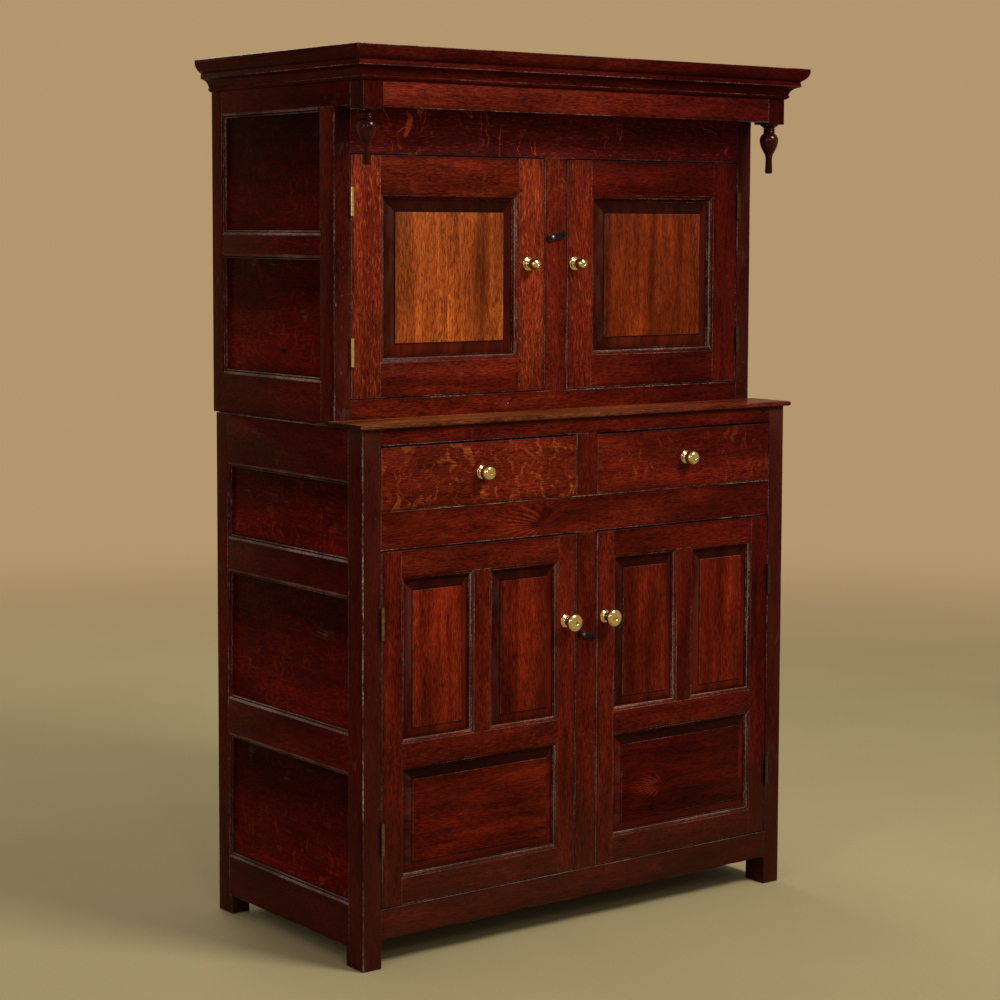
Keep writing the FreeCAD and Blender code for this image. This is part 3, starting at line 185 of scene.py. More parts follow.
def ray_marks(wood, short, tone, figure, flash, arcs):
    """Rays: curved flecks across the grain, broad flashes on a figured board, and sparks along the grain."""
    bent = wood.shifted(wood.noise((9.0, 20.0, 20.0), detail=2.0, out=1).stretched((0.07, 0.03, 0.03)))
    patchy = wood.marks(7.0, 15.0, 0.42, 0.60, detail=2.0)
    rays = bent.marks(105.0, 26.0, 0.57, 0.66, detail=2.0, roughness=0.4, distortion=0.9) * patchy
    broad = bent.marks(34.0, 24.0, 0.53, 0.66, roughness=0.6, distortion=1.5)
    boldly = figure.rise(0.95, 1.3)
    broad = broad * boldly * (0.50 + short * 0.45)
    rays = (rays * figure * (1.0 - boldly * 0.78)).higher_of(broad).lower_of(1.0)
    if arcs:
        curve = bent.noise((30.0, 9.0, 9.0), detail=1.0, roughness=0.4, distortion=0.5) - 0.5
        few = wood.marks(11.0, 16.0, 0.50, 0.62, detail=2.0)
        rays = rays.higher_of((1.0 - abs(curve).rise(0.003, 0.016)) * few * arcs)
    sparks = bent.marks(46.0, 330.0, 0.58, 0.72, detail=1.0, roughness=0.5)
    return rays, sparks * flash * tone.rise(-0.9, 0.3) * 0.7


def rubbed_and_sheen_marks(wood, local, recess, arris, lit, rub, edge, moulded, hung_lines):
    """Pale marks: wear with a painted highlight on the arrises, painted highlights along the edges of
    mouldings that face up or to the left, and small worn scuffs.
    """
    fleck = wood.marks(170.0, 520.0, 0.44, 0.60, detail=2.0)
    stretch = wood.marks(8.0, 7.0, 0.40, 0.60, roughness=0.6)
    rubbed_and_sheen = arris * rub.rise(0.34, 0.60) * (0.10 + stretch * 0.90) * (0.22 + fleck * 0.78)
    # painted highlights: thin pale lines along the mouldings, only where they face up or to the left
    if moulded:
        outer = recess.rise(0.0001, 0.0004) * (1.0 - recess.rise(0.0012, 0.0022))
        inner = recess.rise(0.0036, 0.0040) * (1.0 - recess.rise(0.0048, 0.0058))
        lines = outer.higher_of(inner) * (0.40 + stretch * 0.60) * (0.50 + fleck * 0.50)
        lines = lines * (hung_lines + local.part(1).rise(-0.01, 0.01) * (1.0 - hung_lines))
        rubbed_and_sheen = rubbed_and_sheen.higher_of(lit * lines)
    scuff = wood.marks(70.0, 420.0, 0.68, 0.76, roughness=0.7)
    return rubbed_and_sheen.higher_of(scuff * (1.0 - edge.rise(0.0, 0.006)) * 0.6)


def oak(name, deep, body, bright, ray, worn_and_sheen, wax, field=None, gloss=0.30, coat=0.02, specular=0.03,
        wax_and_shade_amount=1.0, wear=1.0, pores=1.0, dark_top=0.0, bruises=0.0, floor_dust=0.0, top_dust=0.0,
        front_brown=0.0, right_shade=0.0, arcs=0.0, dark_ends=0.0, hung_lines=1.0, shaded_tops=()):
    """Old oak: rings, dashes, pores and rays, old wax with painted shade in the recesses, and wear with
    painted highlights on the arrises; some settings paint shade by place and light by facing.
    """
    material, start, shader = new_finish(name)
    wood, local, half, kind, knot, facing = (
        start.node("Attribute", {"attribute_name": word}, out="Vector")
        for word in ("wood", "local", "half", "kind", "knot", "facing")
    )
    recess, arris = (
        start.node("Attribute", {"attribute_name": word}, out="Fac") for word in ("recess", "worn_and_sheen")
    )
    place = start.node("TexCoord", out="Object")
    right, height = place.part(0), place.part(2)
    leftward, forward, up = facing.part(0) * -1.0, facing.part(1) * -1.0, facing.part(2)
    tone, figure, flash = kind.parts()
    patina = wood.marks(3.4, 10.0, 0.26, 0.74, roughness=0.6)
    grime = wood.noise((14.0, 60.0, 60.0), detail=4.0, roughness=0.65)
    grain, fan, core = round_knots(start, wood, knot, patina)

    # light dashes of spring wood run in clusters, with short dark pores between them
    cluster = grain.marks(3.0, 16.0, 0.34, 0.66, detail=2.0, roughness=0.5)
    bands = grain.marks(2.0, 36.0, 0.34, 0.68, roughness=0.6)
    short = grain.marks(72.0, 490.0, 0.38, 0.62, detail=2.0, roughness=0.6)
    long = grain.marks(38.0, 270.0, 0.40, 0.64, detail=1.0, roughness=0.5)
    dashes = short * 0.68 + long * 0.32
    flames = grain.marks(9.0, 60.0, 0.44, 0.70, roughness=0.6, distortion=0.6)
    pore = grain.marks(80.0, 560.0, 0.52, 0.68, detail=1.0) * (0.35 + bands * 0.65)
    rays, sparks = ray_marks(wood, short, tone, figure, flash, arcs)
    light = dashes * (0.26 + cluster * (0.24 + tone.rise(-1.0, 0.3) * 0.26)) + bands * 0.20 + flames * 0.16
    colour = light.mixed(body, bright)
    colour = (rays * (0.45 + dashes * 0.45)).higher_of(sparks * 0.85).mixed(colour, ray)
    colour = (pore * 0.68 * pores).mixed(colour, deep)

    # each member has its own depth of colour, and painted shade darkens and reddens the whole piece to the
    # right, most of all near the top
    right_shaded = right.rise(-0.1, 0.6) * (1.0 + height.rise(1.2, 1.65) * 0.6) * right_shade
    shade = (0.56 + patina * 0.78) * (1.0 + tone * 0.35) * (1.0 - right_shaded)
    if field is not None:
        shade = shade * (0.76 + grain.marks(0.7, 32.0, 0.34, 0.64, roughness=0.6) * 0.42)
    # painted shade: each side panel darkens towards its top
    if dark_top:
        climb = local.part(1) / half.part(1) + (patina - 0.5) * 0.9
        shade = shade * (1.0 - climb.rise(-0.7, 0.8) * dark_top)
    redder = shade * (1.0 + tone * 0.22).higher_of(0.2)
    colour = colour.tinted(start.node("CombineColor", None, {0: shade, 1: redder * (1.0 - right_shaded), 2: redder}))

    # a raised panel has a sloping border of its own colour with old wax in it; painted shade darkens it where
    # it faces up, and a painted reflection greys it where it faces left. Its step is dark with wax, with a
    # painted highlight where it faces up or left
    if field is not None:
        slope = (0.25 + dashes * 0.25 + bands * 0.5) * (0.45 + patina) * (1.0 - up.rise(0.05, 0.25) * 0.75)
        bevel = slope.mixed(wax, field)
        bevel = (leftward.rise(0.05, 0.25) * grime.rise(0.42, 0.62) * 0.4).mixed(bevel, painted_reflection_grey)
        step = (1.0 - recess.rise(0.0017, 0.0026)) * 0.80
        painted_catchlight = leftward.rise(0.3, 0.8).higher_of(up.rise(0.3, 0.8)) * (0.15 + short * 0.55)
        colour = recess.rise(0.0004, 0.0012).mixed(colour, step.mixed(bevel, painted_catchlight.mixed(wax, worn_and_sheen)))
    colour = (fan * (0.35 + dashes * 0.45)).mixed(colour, bright)
    colour = (core * 0.85).mixed(colour, wax)

    # old wax lies in the recesses and joints, with painted shade laid over it there, and hands rub wax off
    # the arrises, which also get painted highlights
    edge = half.part(1) - abs(local.part(1))
    in_joint = (1.0 - edge.rise(0.0006, 0.010)) * 0.45
    wax_and_shade = (recess.rise(0.0035, 0.0085) * 0.80).higher_of(in_joint) * (0.45 + grime * 0.85) * wax_and_shade_amount
    colour = wax_and_shade.lower_of(0.95).mixed(colour, wax)
    rub = wood.noise((26.0, 190.0, 190.0), detail=4.0, roughness=0.7)
    # faces turned up or to the left get painted highlights on their moulding edges
    lit = up.rise(0.15, 0.6).higher_of(leftward.rise(0.15, 0.6))
    rubbed_and_sheen = rubbed_and_sheen_marks(wood, local, recess, arris, lit, rub, edge, field is None, hung_lines) * wear
    # painted shade: the pale arris marks are mostly left off the tops of doors and drawers, which lie in the
    # shadow of the rail above
    for top in shaded_tops:
        rubbed_and_sheen = rubbed_and_sheen * (0.1 + abs(height - top).rise(0.0015, 0.0040) * 0.9)
    colour = rubbed_and_sheen.mixed(colour, worn_and_sheen)
    if dark_ends:
        end_grain = abs(leftward).rise(0.3, 0.8) * (0.6 + grime * 0.5) * dark_ends
        colour = end_grain.lower_of(0.95).mixed(colour, wax)
    if bruises:
        bruised = wood.marks(13.0, 17.0, 0.62, 0.76, detail=2.0) * rub.rise(0.46, 0.64) * bruises
        colour = bruised.mixed(colour, bruise_grey)
    if floor_dust:
        low_down = (1.0 - height.rise(0.03, 0.42)) * floor_dust
        under_top = height.rise(0.98, 1.06) * (1.0 - height.rise(1.07, 1.09)) * top_dust
        colour = ((low_down + under_top) * (0.35 + grime)).lower_of(0.85).mixed(colour, floor_brown)
    # painted light: faces turned to the front are made lighter and browner than the sides
    if front_brown:
        front_lit = forward.rise(0.3, 0.8) * (patina * 0.75 + dashes * 0.30) * front_brown
        colour = front_lit.lower_of(0.9).mixed(colour, painted_front_brown)

    ripple = wood.noise((5.0, 24.0, 24.0), detail=1.0)
    waves = start.node("Bump", None, {"Strength": 0.25, "Distance": 0.004, "Height": ripple})
    fibres = start.node("Bump", None, {
        "Strength": 0.30, "Distance": 0.0010, "Height": dashes * 0.35 - pore + rays * 0.3, "Normal": waves,
    })
    fill(start.tree, shader, {
        "Base Color": colour, "Roughness": gloss + pore * 0.14 + (grime - 0.5) * 0.20 + rubbed_and_sheen * 0.12,
        "Normal": fibres, "Specular IOR Level": specular, "Coat Weight": coat, "Coat Roughness": 0.12,
        "Coat IOR": 1.4,
    })
    return material


back_to_back = 0.001
round_places = 5


def turn_between(low, high, corner, other):
    """How far one face turns about an edge, through its own wood, to reach another."""
    axis = (Vector(high) - Vector(low)).normalized()
    first, second = (Vector(place) - Vector(low) for place in (corner, other))
    first, second = (arm - axis * arm.dot(axis) for arm in (first, second))
    turn = -math.atan2(axis.dot(first.cross(second)), first.dot(second)) % (2 * math.pi)
    return turn if turn > back_to_back else 2 * math.pi


def solids_of(node):
    """The triangles of a CAD node, sorted into its separate members."""
    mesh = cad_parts[node].data
    corners = [tuple(round(value, round_places) for value in vertex.co) for vertex in mesh.vertices]
    triangles = [[corners[index] for index in face.vertices] for face in mesh.polygons]
    owners = list(range(len(triangles)))

    def owner(index):
        while owners[index] != index:
            owners[index] = owners[owners[index]]
            index = owners[index]
        return index

    edges = {}
    for index, (a, b, c) in enumerate(triangles):
        for start, end, corner in ((a, b, c), (b, c, a), (c, a, b)):
            edges.setdefault((min(start, end), max(start, end)), []).append((start < end, index, corner))
    for (low, high), sharing in edges.items():
        if len(sharing) == 2:
            owners[owner(sharing[0][1])] = owner(sharing[1][1])
            continue
        backward = [face for face in sharing if not face[0]]
        for forward, index, corner in sharing:
            if forward and backward:
                partner = min(backward, key=lambda face: turn_between(low, high, corner, face[2]))
                owners[owner(index)] = owner(partner[1])
    groups = {}
    for index, triangle in enumerate(triangles):
        groups.setdefault(owner(index), []).append(triangle)
    found = list(groups.values())
    found.sort(key=lambda group: min(min(corner) for corner in group))
    return found


on_box, box_play = 0.0003, 0.00002
least_share, most_share = 0.96, 1.0001


def on_outline(edge, low, high):
    """Whether an edge runs along an outer edge of its node's box."""
    planes = 0
    for axis in range(3):
        for place in (low[axis], high[axis]):
            if all(abs(vertex.co[axis] - place) < on_box for vertex in edge.verts):
                planes += 1
    return planes >= 2


def take_off(work, choose, widths, steps):
    """Rounds some edges over by the first width that leaves a sound solid, and marks them for pale wear and
    painted highlights.
    """
    places = [vertex.co.copy() for vertex in work.verts]
    start, end = ([pick(place[axis] for place in places) for axis in range(3)] for pick in (min, max))
    volume = work.calc_volume()
    for width in widths:
        trial = work.copy()
        rubbed_and_sheen = trial.faces.layers.float["worn_and_sheen"]
        edges = choose(trial, rubbed_and_sheen)
        if edges:
            result = bmesh.ops.bevel(
                trial, geom=edges, offset=width, offset_type="OFFSET", segments=steps, profile=0.5,
                affect="EDGES", clamp_overlap=False,
            )
            for face in result["faces"]:
                face[rubbed_and_sheen] = 1.0
        closed = all(len(edge.link_faces) == 2 for edge in trial.edges)
        inside = all(
            start[axis] - box_play < vertex.co[axis] < end[axis] + box_play
            for vertex in trial.verts for axis in range(3)
        )
        if closed and inside and least_share * volume < trial.calc_volume() < most_share * volume:
            work.free()
            return trial
        trial.free()
    return work


hollow_cuts, hollow_end, low_edge_play = 60, 0.03, 0.001


def wear_hollows(work, low, depth):
    """Hollows the lower edge of a rail where feet and brooms have rubbed it."""
    start, end = (pick(vertex.co.x for vertex in work.verts) for pick in (min, max))
    for index in range(1, hollow_cuts):
        place = (start + (end - start) * index / hollow_cuts, 0, 0)
        geometry = work.verts[:] + work.edges[:] + work.faces[:]
        bmesh.ops.bisect_plane(work, geom=geometry, plane_co=place, plane_no=(1, 0, 0))
    for vertex in work.verts:
        x = vertex.co.x
        if vertex.co.z < low + low_edge_play and abs(x) < end - hollow_end:
            swell = 0.5 + 0.5 * math.sin(x * 21 + 1.3) * math.sin(x * 9.5 + 0.4)
            vertex.co.z += depth * swell * (0.75 + 0.25 * math.sin(x * 67))


flat_angle = math.radians(0.8)
sharp_angle, short_edge = 0.6, 0.006


def worked_solid(triangles, low, high, rub_width, hollow):
    """One member with its faces made whole again and its arrises taken off."""
    work = bmesh.new()
    made = {corner: None for triangle in triangles for corner in triangle}
    for corner in made:
        made[corner] = work.verts.new(corner)
    for triangle in triangles:
        if len(set(triangle)) == 3:
            work.faces.new([made[corner] for corner in triangle])
    bmesh.ops.dissolve_limit(
        work, angle_limit=flat_angle, use_dissolve_boundaries=False, verts=work.verts, edges=work.edges,
    )
    if hollow:
        wear_hollows(work, low[2], hollow)
    work.faces.layers.float.new("worn_and_sheen")

    def outer(trial, rubbed_and_sheen):
        return [e for e in trial.edges if len(e.link_faces) == 2 and on_outline(e, low, high)]

    def arrises(trial, rubbed_and_sheen):
        return [
            e for e in trial.edges
            if len(e.link_faces) == 2 and e.is_convex and e.calc_face_angle(0.0) > sharp_angle
            and e.calc_length() > short_edge and not any(face[rubbed_and_sheen] > 0 for face in e.link_faces)
        ]

    work = take_off(work, outer, (rub_width, rub_width / 2, least_outline), outline_steps)
    return take_off(work, arrises, (arris_width, arris_width / 2, least_arris), arris_steps)


def box_of(triangles):
    places = [corner for triangle in triangles for corner in triangle]
    low = [min(place[axis] for place in places) for axis in range(3)]
    high = [max(place[axis] for place in places) for axis in range(3)]
    return low, high


across, back_to_front, upright = 0, 1, 2
grain_shift = 4
knot_play = 0.002


def stand_in(mesh, finish, body, slot, *nodes):
    """Makes a mesh a finished piece of a body, in place of CAD nodes."""
    mesh.shade_smooth()
    mesh.set_sharp_from_angle(angle=smooth_angle)
    mesh.materials.append(finish)
    piece = bpy.data.objects.new(mesh.name, mesh)
    bpy.context.scene.collection.objects.link(piece)
    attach(piece, body)
    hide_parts(*nodes)


def joinery(node, body, slot, finish, grain=None, face=None, figure=0.3, flash=0.3, tone=0.0, spread=0.5,
            knot=None, rub_width=outline_width, hollow=0.0):
    """A node's members as worked oak: one piece, each member with its own run of grain."""
    low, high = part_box(node)
    points, faces, worn_and_sheen, facing, recess = [], [], [], [], []
    rows = {"wood": [], "local": [], "half": [], "kind": [], "knot": []}
    for index, triangles in enumerate(solids_of(node)):
        chance = random.Random(f"{random_seed} {node} {index}")
        work = worked_solid(triangles, low, high, rub_width, hollow)
        rubbed_and_sheen = work.faces.layers.float["worn_and_sheen"]
        start, end = box_of(triangles)
        spans = [b - a for a, b in zip(start, end)]
        middle = [(a + b) / 2 for a, b in zip(start, end)]
        order = sorted(range(3), key=lambda axis: -spans[axis])
        run = grain(spans) if callable(grain) else grain
        if run is not None:
            order.remove(run)
            order.insert(0, run)
        offset = [chance.uniform(-grain_shift, grain_shift) for _ in range(3)]
        shade = tone(middle) if callable(tone) else tone
        kind = (chance.uniform(-1, 1) * spread + shade, figure, flash)
        inside = knot and all(
            start[axis] - knot_play < knot[axis] < end[axis] + knot_play for axis in range(3)
        )
        first = len(points)
        for number, vertex in enumerate(work.verts):
            vertex.index = number
            place = vertex.co
            turned = [place[axis] - middle[axis] for axis in order]
            points.append(tuple(place))
            rows["local"].append(turned)
            rows["half"].append([spans[axis] / 2 for axis in order])
            rows["wood"].append([a + b for a, b in zip(turned, offset)])
            rows["kind"].append(kind)
            if inside:
                from_knot = [place[axis] - knot[axis] for axis in order]
                rows["knot"].append((from_knot[0], from_knot[1], knot[3]))
            else:
                rows["knot"].append(no_knot)
            if face is None:
                recess.append(0.0)
            elif face[0] == across:
                recess.append(face[1] - abs(place.x))
            else:
                recess.append(place[face[0]] - face[1])
        work.normal_update()
        for polygon in work.faces:
            faces.append([first + vertex.index for vertex in polygon.verts])
            worn_and_sheen.append(polygon[rubbed_and_sheen])
            facing.extend(polygon.normal)
        work.free()
    mesh = bpy.data.meshes.new(node + "_oak")
    mesh.from_pydata(points, [], faces)
    for name, values in rows.items():
        layer = mesh.attributes.new(name, "FLOAT_VECTOR", "POINT")
        layer.data.foreach_set("vector", [number for row in values for number in row])
    mesh.attributes.new("recess", "FLOAT", "POINT").data.foreach_set("value", recess)
    mesh.attributes.new("worn_and_sheen", "FLOAT", "FACE").data.foreach_set("value", worn_and_sheen)
    mesh.attributes.new("facing", "FLOAT_VECTOR", "FACE").data.foreach_set("vector", facing)
    stand_in(mesh, finish, body, slot, node)


post_finish = oak(
    "post_oak", deep=(0.010, 0.0008, 0.0006, 1), body=(0.034, 0.0018, 0.0011, 1),
    bright=(0.125, 0.0090, 0.0034, 1), ray=(0.220, 0.035, 0.0080, 1), worn_and_sheen=(0.460, 0.350, 0.280, 1),
    wax=(0.0045, 0.0009, 0.0008, 1), specular=0.015, bruises=0.6, floor_dust=0.45, top_dust=0.6,
    front_brown=0.45, right_shade=0.28,
)
joinery("lower_posts", "case", "side_oak", post_finish, rub_width=post_outline_width, figure=0.1)

# The lower side frames: four rails a side, tenoned into the posts, with three
# panels a side held loose in their grooves.  A run moulding goes round each opening.
lower_side, upper_side, side_panel_depth = 0.557, 0.551, 0.009
side_finish = oak(
    "side_oak", deep=(0.008, 0.0007, 0.0006, 1), body=(0.030, 0.0012, 0.0009, 1),
    bright=(0.105, 0.0060, 0.0025, 1), ray=(0.190, 0.022, 0.0060, 1), worn_and_sheen=(0.330, 0.230, 0.190, 1),
    wax=(0.0045, 0.0008, 0.0008, 1), specular=0.015, bruises=0.5, floor_dust=0.35, hung_lines=0.35,
)
side_panel_finish = oak(
    "side_panel_oak", deep=(0.008, 0.0006, 0.0005, 1), body=(0.036, 0.0009, 0.0008, 1),
    bright=(0.185, 0.0070, 0.0024, 1), ray=(0.300, 0.036, 0.0070, 1), worn_and_sheen=(0.170, 0.140, 0.120, 1),
    wax=(0.0040, 0.0007, 0.0007, 1), specular=0.010, dark_top=0.75, bruises=0.7,
)


def side_panel_tone(middle):
    """The top panel of the lower case is lighter, and the top one of the upper case darker."""
    height = middle[2]
    return -0.9 if height > 1.35 else 0.3 if height > 1.08 else 0.4 if height > 0.85 else 0.0


def side_frame(level, plane, knot=None):
    joinery(level + "_side_rails", "case", "side_oak", side_finish, face=(across, plane), figure=0.1)
    joinery(level + "_side_panels", "case", "side_oak", side_panel_finish, grain=back_to_front,
            face=(across, plane - side_panel_depth), figure=0.5, spread=0.1, tone=side_panel_tone, knot=knot)


side_frame("lower", lower_side)

# The lower front frame: a bottom rail, a drawer rail and a top rail between the
# posts, and a muntin between the doors and another between the drawers.
front_looks = dict(
    deep=(0.012, 0.0009, 0.0007, 1), body=(0.034, 0.0017, 0.0015, 1),
    bright=(0.298, 0.0325, 0.0080, 1), ray=(0.460, 0.1050, 0.0180, 1), worn_and_sheen=(0.310, 0.205, 0.140, 1),
    wax=(0.0050, 0.0009, 0.0007, 1), floor_dust=0.55, right_shade=0.32,
)
front_finish = oak("front_oak", **front_looks)
lower_front = -0.268
lower_face = (back_to_front, lower_front)
for node, shine, shade in (
    ("lower_drawer_rail", 0.1, -0.7), ("lower_front_top_rail", 0.1, -0.8),
    ("lower_door_muntin", 0.2, -0.7), ("drawer_muntin", 0.1, -0.8),
):
    joinery(node, "case", "front_oak", front_finish, face=lower_face, figure=shine, tone=shade, spread=0.1,
            knot=(-0.136, lower_front, 0.852, 0.018))
joinery("lower_front_bottom_rail", "case", "front_oak", front_finish, face=lower_face, figure=0.1,
        tone=-1.3, spread=0.0, hollow=0.0055, knot=(0.21, lower_front, 0.094, 0.008))

# The insides and backs: dry unpolished oak boards, rails, shelves and runners.
# They are sawn and rough, let in to rebates and housings, and never waxed.
plain_finish = oak(
    "plain_oak", deep=(0.055, 0.028, 0.014, 1), body=(0.150, 0.084, 0.045, 1),
    bright=(0.260, 0.155, 0.086, 1), ray=(0.300, 0.190, 0.110, 1), worn_and_sheen=(0.280, 0.190, 0.120, 1),
    wax=(0.050, 0.030, 0.018, 1), gloss=0.62, coat=0.0, specular=0.25, wear=0.6,
)
for node, run in (
    ("lower_back_rails", None), ("lower_back_boards", upright), ("upper_back_rails", None),
    ("upper_back_boards", upright), ("lower_floor_boards", across), ("upper_floor_boards", across),
    ("lower_top_boards", across), ("roof_boards", across), ("lower_shelf", across),
    ("upper_shelf", across), ("shelf_bearers", across), ("drawer_runners", None),
):
    joinery(node, "case", "plain_oak", plain_finish, grain=run, figure=0.2)

# The upper case: posts, front rails and muntin, and side frames with two panels
# a side.  It stands back on the lower case, and its top rails run forward as arms.
joinery("upper_posts", "case", "side_oak", post_finish, rub_width=post_outline_width, figure=0.1, tone=-0.3)
side_frame("upper", upper_side, knot=(-0.542, 0.04, 1.205, 0.016))
head_finish = oak(
    "head_oak", deep=(0.014, 0.0010, 0.0010, 1), body=(0.044, 0.0026, 0.0028, 1),
    bright=(0.150, 0.0130, 0.0090, 1), ray=(0.800, 0.1000, 0.0250, 1), worn_and_sheen=(0.240, 0.150, 0.095, 1),
    wax=(0.0050, 0.0009, 0.0008, 1), right_shade=0.25, arcs=0.9,
)
upper_front = -0.160
upper_face = (back_to_front, upper_front)
rail_nail = (-0.123, upper_front, 1.092)
for node, shine, shade, finish in (
    ("upper_front_bottom_rail", 0.1, -0.7, front_finish), ("upper_front_top_rail", 0.15, 0.35, head_finish),
    ("upper_door_muntin", 0.3, -0.55, front_finish),
):
    joinery(node, "case", "front_oak", finish, face=upper_face, figure=shine, tone=shade, spread=0.0,
            knot=(*rail_nail, 0.006))

# The doors: mortised and tenoned frames with mitred run mouldings, and raised
# panels that taper to a tongue in the frame's groove.
door_tops = [
    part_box(node)[1][2] for node in ("lower_left_door_frame", "left_drawer_front", "upper_left_door_frame")
]
door_finish = oak("door_oak", shaded_tops=door_tops, **front_looks)
upper_panel_finish = oak(
    "upper_panel_oak", deep=(0.040, 0.0036, 0.0012, 1), body=(0.088, 0.0105, 0.0024, 1),
    bright=(0.680, 0.1400, 0.0210, 1), ray=(0.600, 0.200, 0.0350, 1), worn_and_sheen=(0.170, 0.120, 0.075, 1),
    wax=(0.0060, 0.0010, 0.0008, 1), field=(0.100, 0.0100, 0.0036, 1), wax_and_shade_amount=0.8, pores=0.95,
)
lower_panel_finish = oak(
    "lower_panel_oak", deep=(0.019, 0.0012, 0.0008, 1), body=(0.038, 0.0019, 0.0011, 1),
    bright=(0.350, 0.0360, 0.0074, 1), ray=(0.560, 0.145, 0.0240, 1), worn_and_sheen=(0.220, 0.140, 0.090, 1),
    wax=(0.0055, 0.0009, 0.0007, 1), field=(0.110, 0.0085, 0.0028, 1), wax_and_shade_amount=0.8,
)


upper_door_middle = 1.357
door_panel_depth = 0.003


def panel_grain(spans):
    """A tall panel's grain runs up, and a long one's runs across."""
    return upright if spans[2] > spans[0] else across


def upper_door_tone(middle):
    """The stiles are lighter than the rails, and the lock stiles most of all; the right door is darker, as
    painted shade.
    """
    x, above = middle[0], middle[2] - upper_door_middle
    if abs(above) > 0.12:
        return -1.1 if x > 0 else -0.55 if above > 0 else -0.9
    return 0.1 if x < -0.27 else 0.35 if x < 0 else -0.05 if x <= 0.27 else -0.75


def lower_door_tone(middle):
    """The doors darken towards the floor, as painted shade, and towards their hinges."""
    return -1.0 if abs(middle[0]) > 0.42 else -0.65 if middle[2] > 0.3 else -1.2


def panel_tone(middle):
    """The long lower panels are darker than the pair above them, most of all on the right, as painted shade.
    """
    if middle[2] > 0.45:
        return -0.55 if middle[0] < -0.25 else -0.65 if middle[0] < 0.3 else -0.8
    return -1.1 if middle[0] < 0 else -1.85


# The right door's panel is darker than the left, as painted shade.
for hand, shade in (("left", 0.05), ("right", -1.25)):
    body = f"upper_{hand}_door"
    field = upper_front + door_panel_depth
    joinery(body + "_frame", body, "front_oak", door_finish, face=upper_face, figure=0.12, flash=0.8,
            tone=upper_door_tone, spread=0.12)
    joinery(body + "_panel", body, "panel_oak", upper_panel_finish, grain=upright, tone=shade, spread=0.0,
            face=(back_to_front, field), figure=0.0, flash=0.2, knot=(-0.161, field, 1.297, 0.005))
for hand in ("left", "right"):
    body = f"lower_{hand}_door"
    field = lower_front + door_panel_depth
    joinery(body + "_frame", body, "front_oak", door_finish, face=lower_face, figure=0.12, flash=0.6,
            tone=lower_door_tone, spread=0.12)
    joinery(body + "_panels", body, "panel_oak", lower_panel_finish, grain=panel_grain, tone=panel_tone,
            spread=0.1, face=(back_to_front, field), figure=0.0, flash=1.0, knot=(0.198, field, 0.268, 0.010))

# The drawers: an oak front with nailed sides, back and bottom behind it.  The left
# front is a figured board, so broad rays flash across it.
for hand, shine, shade in (("left", 1.3, -0.5), ("right", 0.45, -0.55)):
    body = hand + "_drawer"
    joinery(body + "_front", body, "front_oak", door_finish, face=lower_face, figure=shine, flash=0.1,
            spread=0.0, tone=shade)
    joinery(body + "_box", body, "plain_oak", plain_finish, figure=0.2)

# The canopy: a frieze board between two corner blocks, a cornice moulding mitred
# round three sides, and a turned pendant under each block.
frieze_front = -0.2645
joinery("frieze_board", "case", "front_oak", front_finish, face=(back_to_front, frieze_front), figure=0.1,
        tone=-0.4, spread=0.0)
cornice_finish = oak(
    "cornice_oak", deep=(0.008, 0.0008, 0.0007, 1), body=(0.026, 0.0016, 0.0013, 1),
    bright=(0.125, 0.0120, 0.0050, 1), ray=(0.220, 0.034, 0.0090, 1), worn_and_sheen=(0.300, 0.215, 0.175, 1),
    wax=(0.0045, 0.0008, 0.0008, 1), specular=0.015, gloss=0.20, right_shade=0.3,
)
joinery("cornice_front", "case", "front_oak", cornice_finish, figure=0.0, flash=0.1, tone=-0.2, spread=0.0)
joinery("cornice_sides", "case", "side_oak", cornice_finish, figure=0.0, flash=0.1, tone=-0.3, spread=0.0)
joinery("pendant_blocks", "case", "side_oak", cornice_finish, grain=upright, figure=0.0, tone=-0.2,
        spread=0.1)

# The top board: a thin moulded board that lies on the lower case in front of the
# upper one.  It takes the light from above, and its ends are dark with old wax.
top_finish = oak(
    "top_oak", deep=(0.018, 0.0014, 0.0008, 1), body=(0.062, 0.0055, 0.0019, 1),
    bright=(0.470, 0.1300, 0.0340, 1), ray=(0.560, 0.190, 0.0420, 1), worn_and_sheen=(0.620, 0.290, 0.110, 1),
    wax=(0.0060, 0.0012, 0.0008, 1), wear=1.3, right_shade=0.5, dark_ends=1.2,
)
joinery("top_board", "case", "front_oak", top_finish, figure=0.0, tone=0.3, spread=0.0,
        rub_width=top_outline_width)

# The turn buttons: small blackened oak strips, one on each muntin between the
# doors.  Each turns on a nail, and holds a door shut.
button_finish = oak(
    "black_oak", deep=(0.006, 0.004, 0.004, 1), body=(0.014, 0.0075, 0.008, 1),
    bright=(0.034, 0.019, 0.019, 1), ray=(0.050, 0.030, 0.028, 1), worn_and_sheen=(0.090, 0.070, 0.065, 1),
    wax=(0.005, 0.003, 0.003, 1),
)
for level in ("upper", "lower"):
    joinery(level + "_turn_button", level + "_turn_button", "black_oak", button_finish, figure=0.0, flash=0.0)

# The turned drops under the canopy: close-grained oak, stained dark red and
# polished on the lathe, each on a spigot in its corner block.
turned_sides, turned_steps = 48, 6
least_turned_step, least_turned_radius = 0.00004, 0.00001
same_place = 0.00002


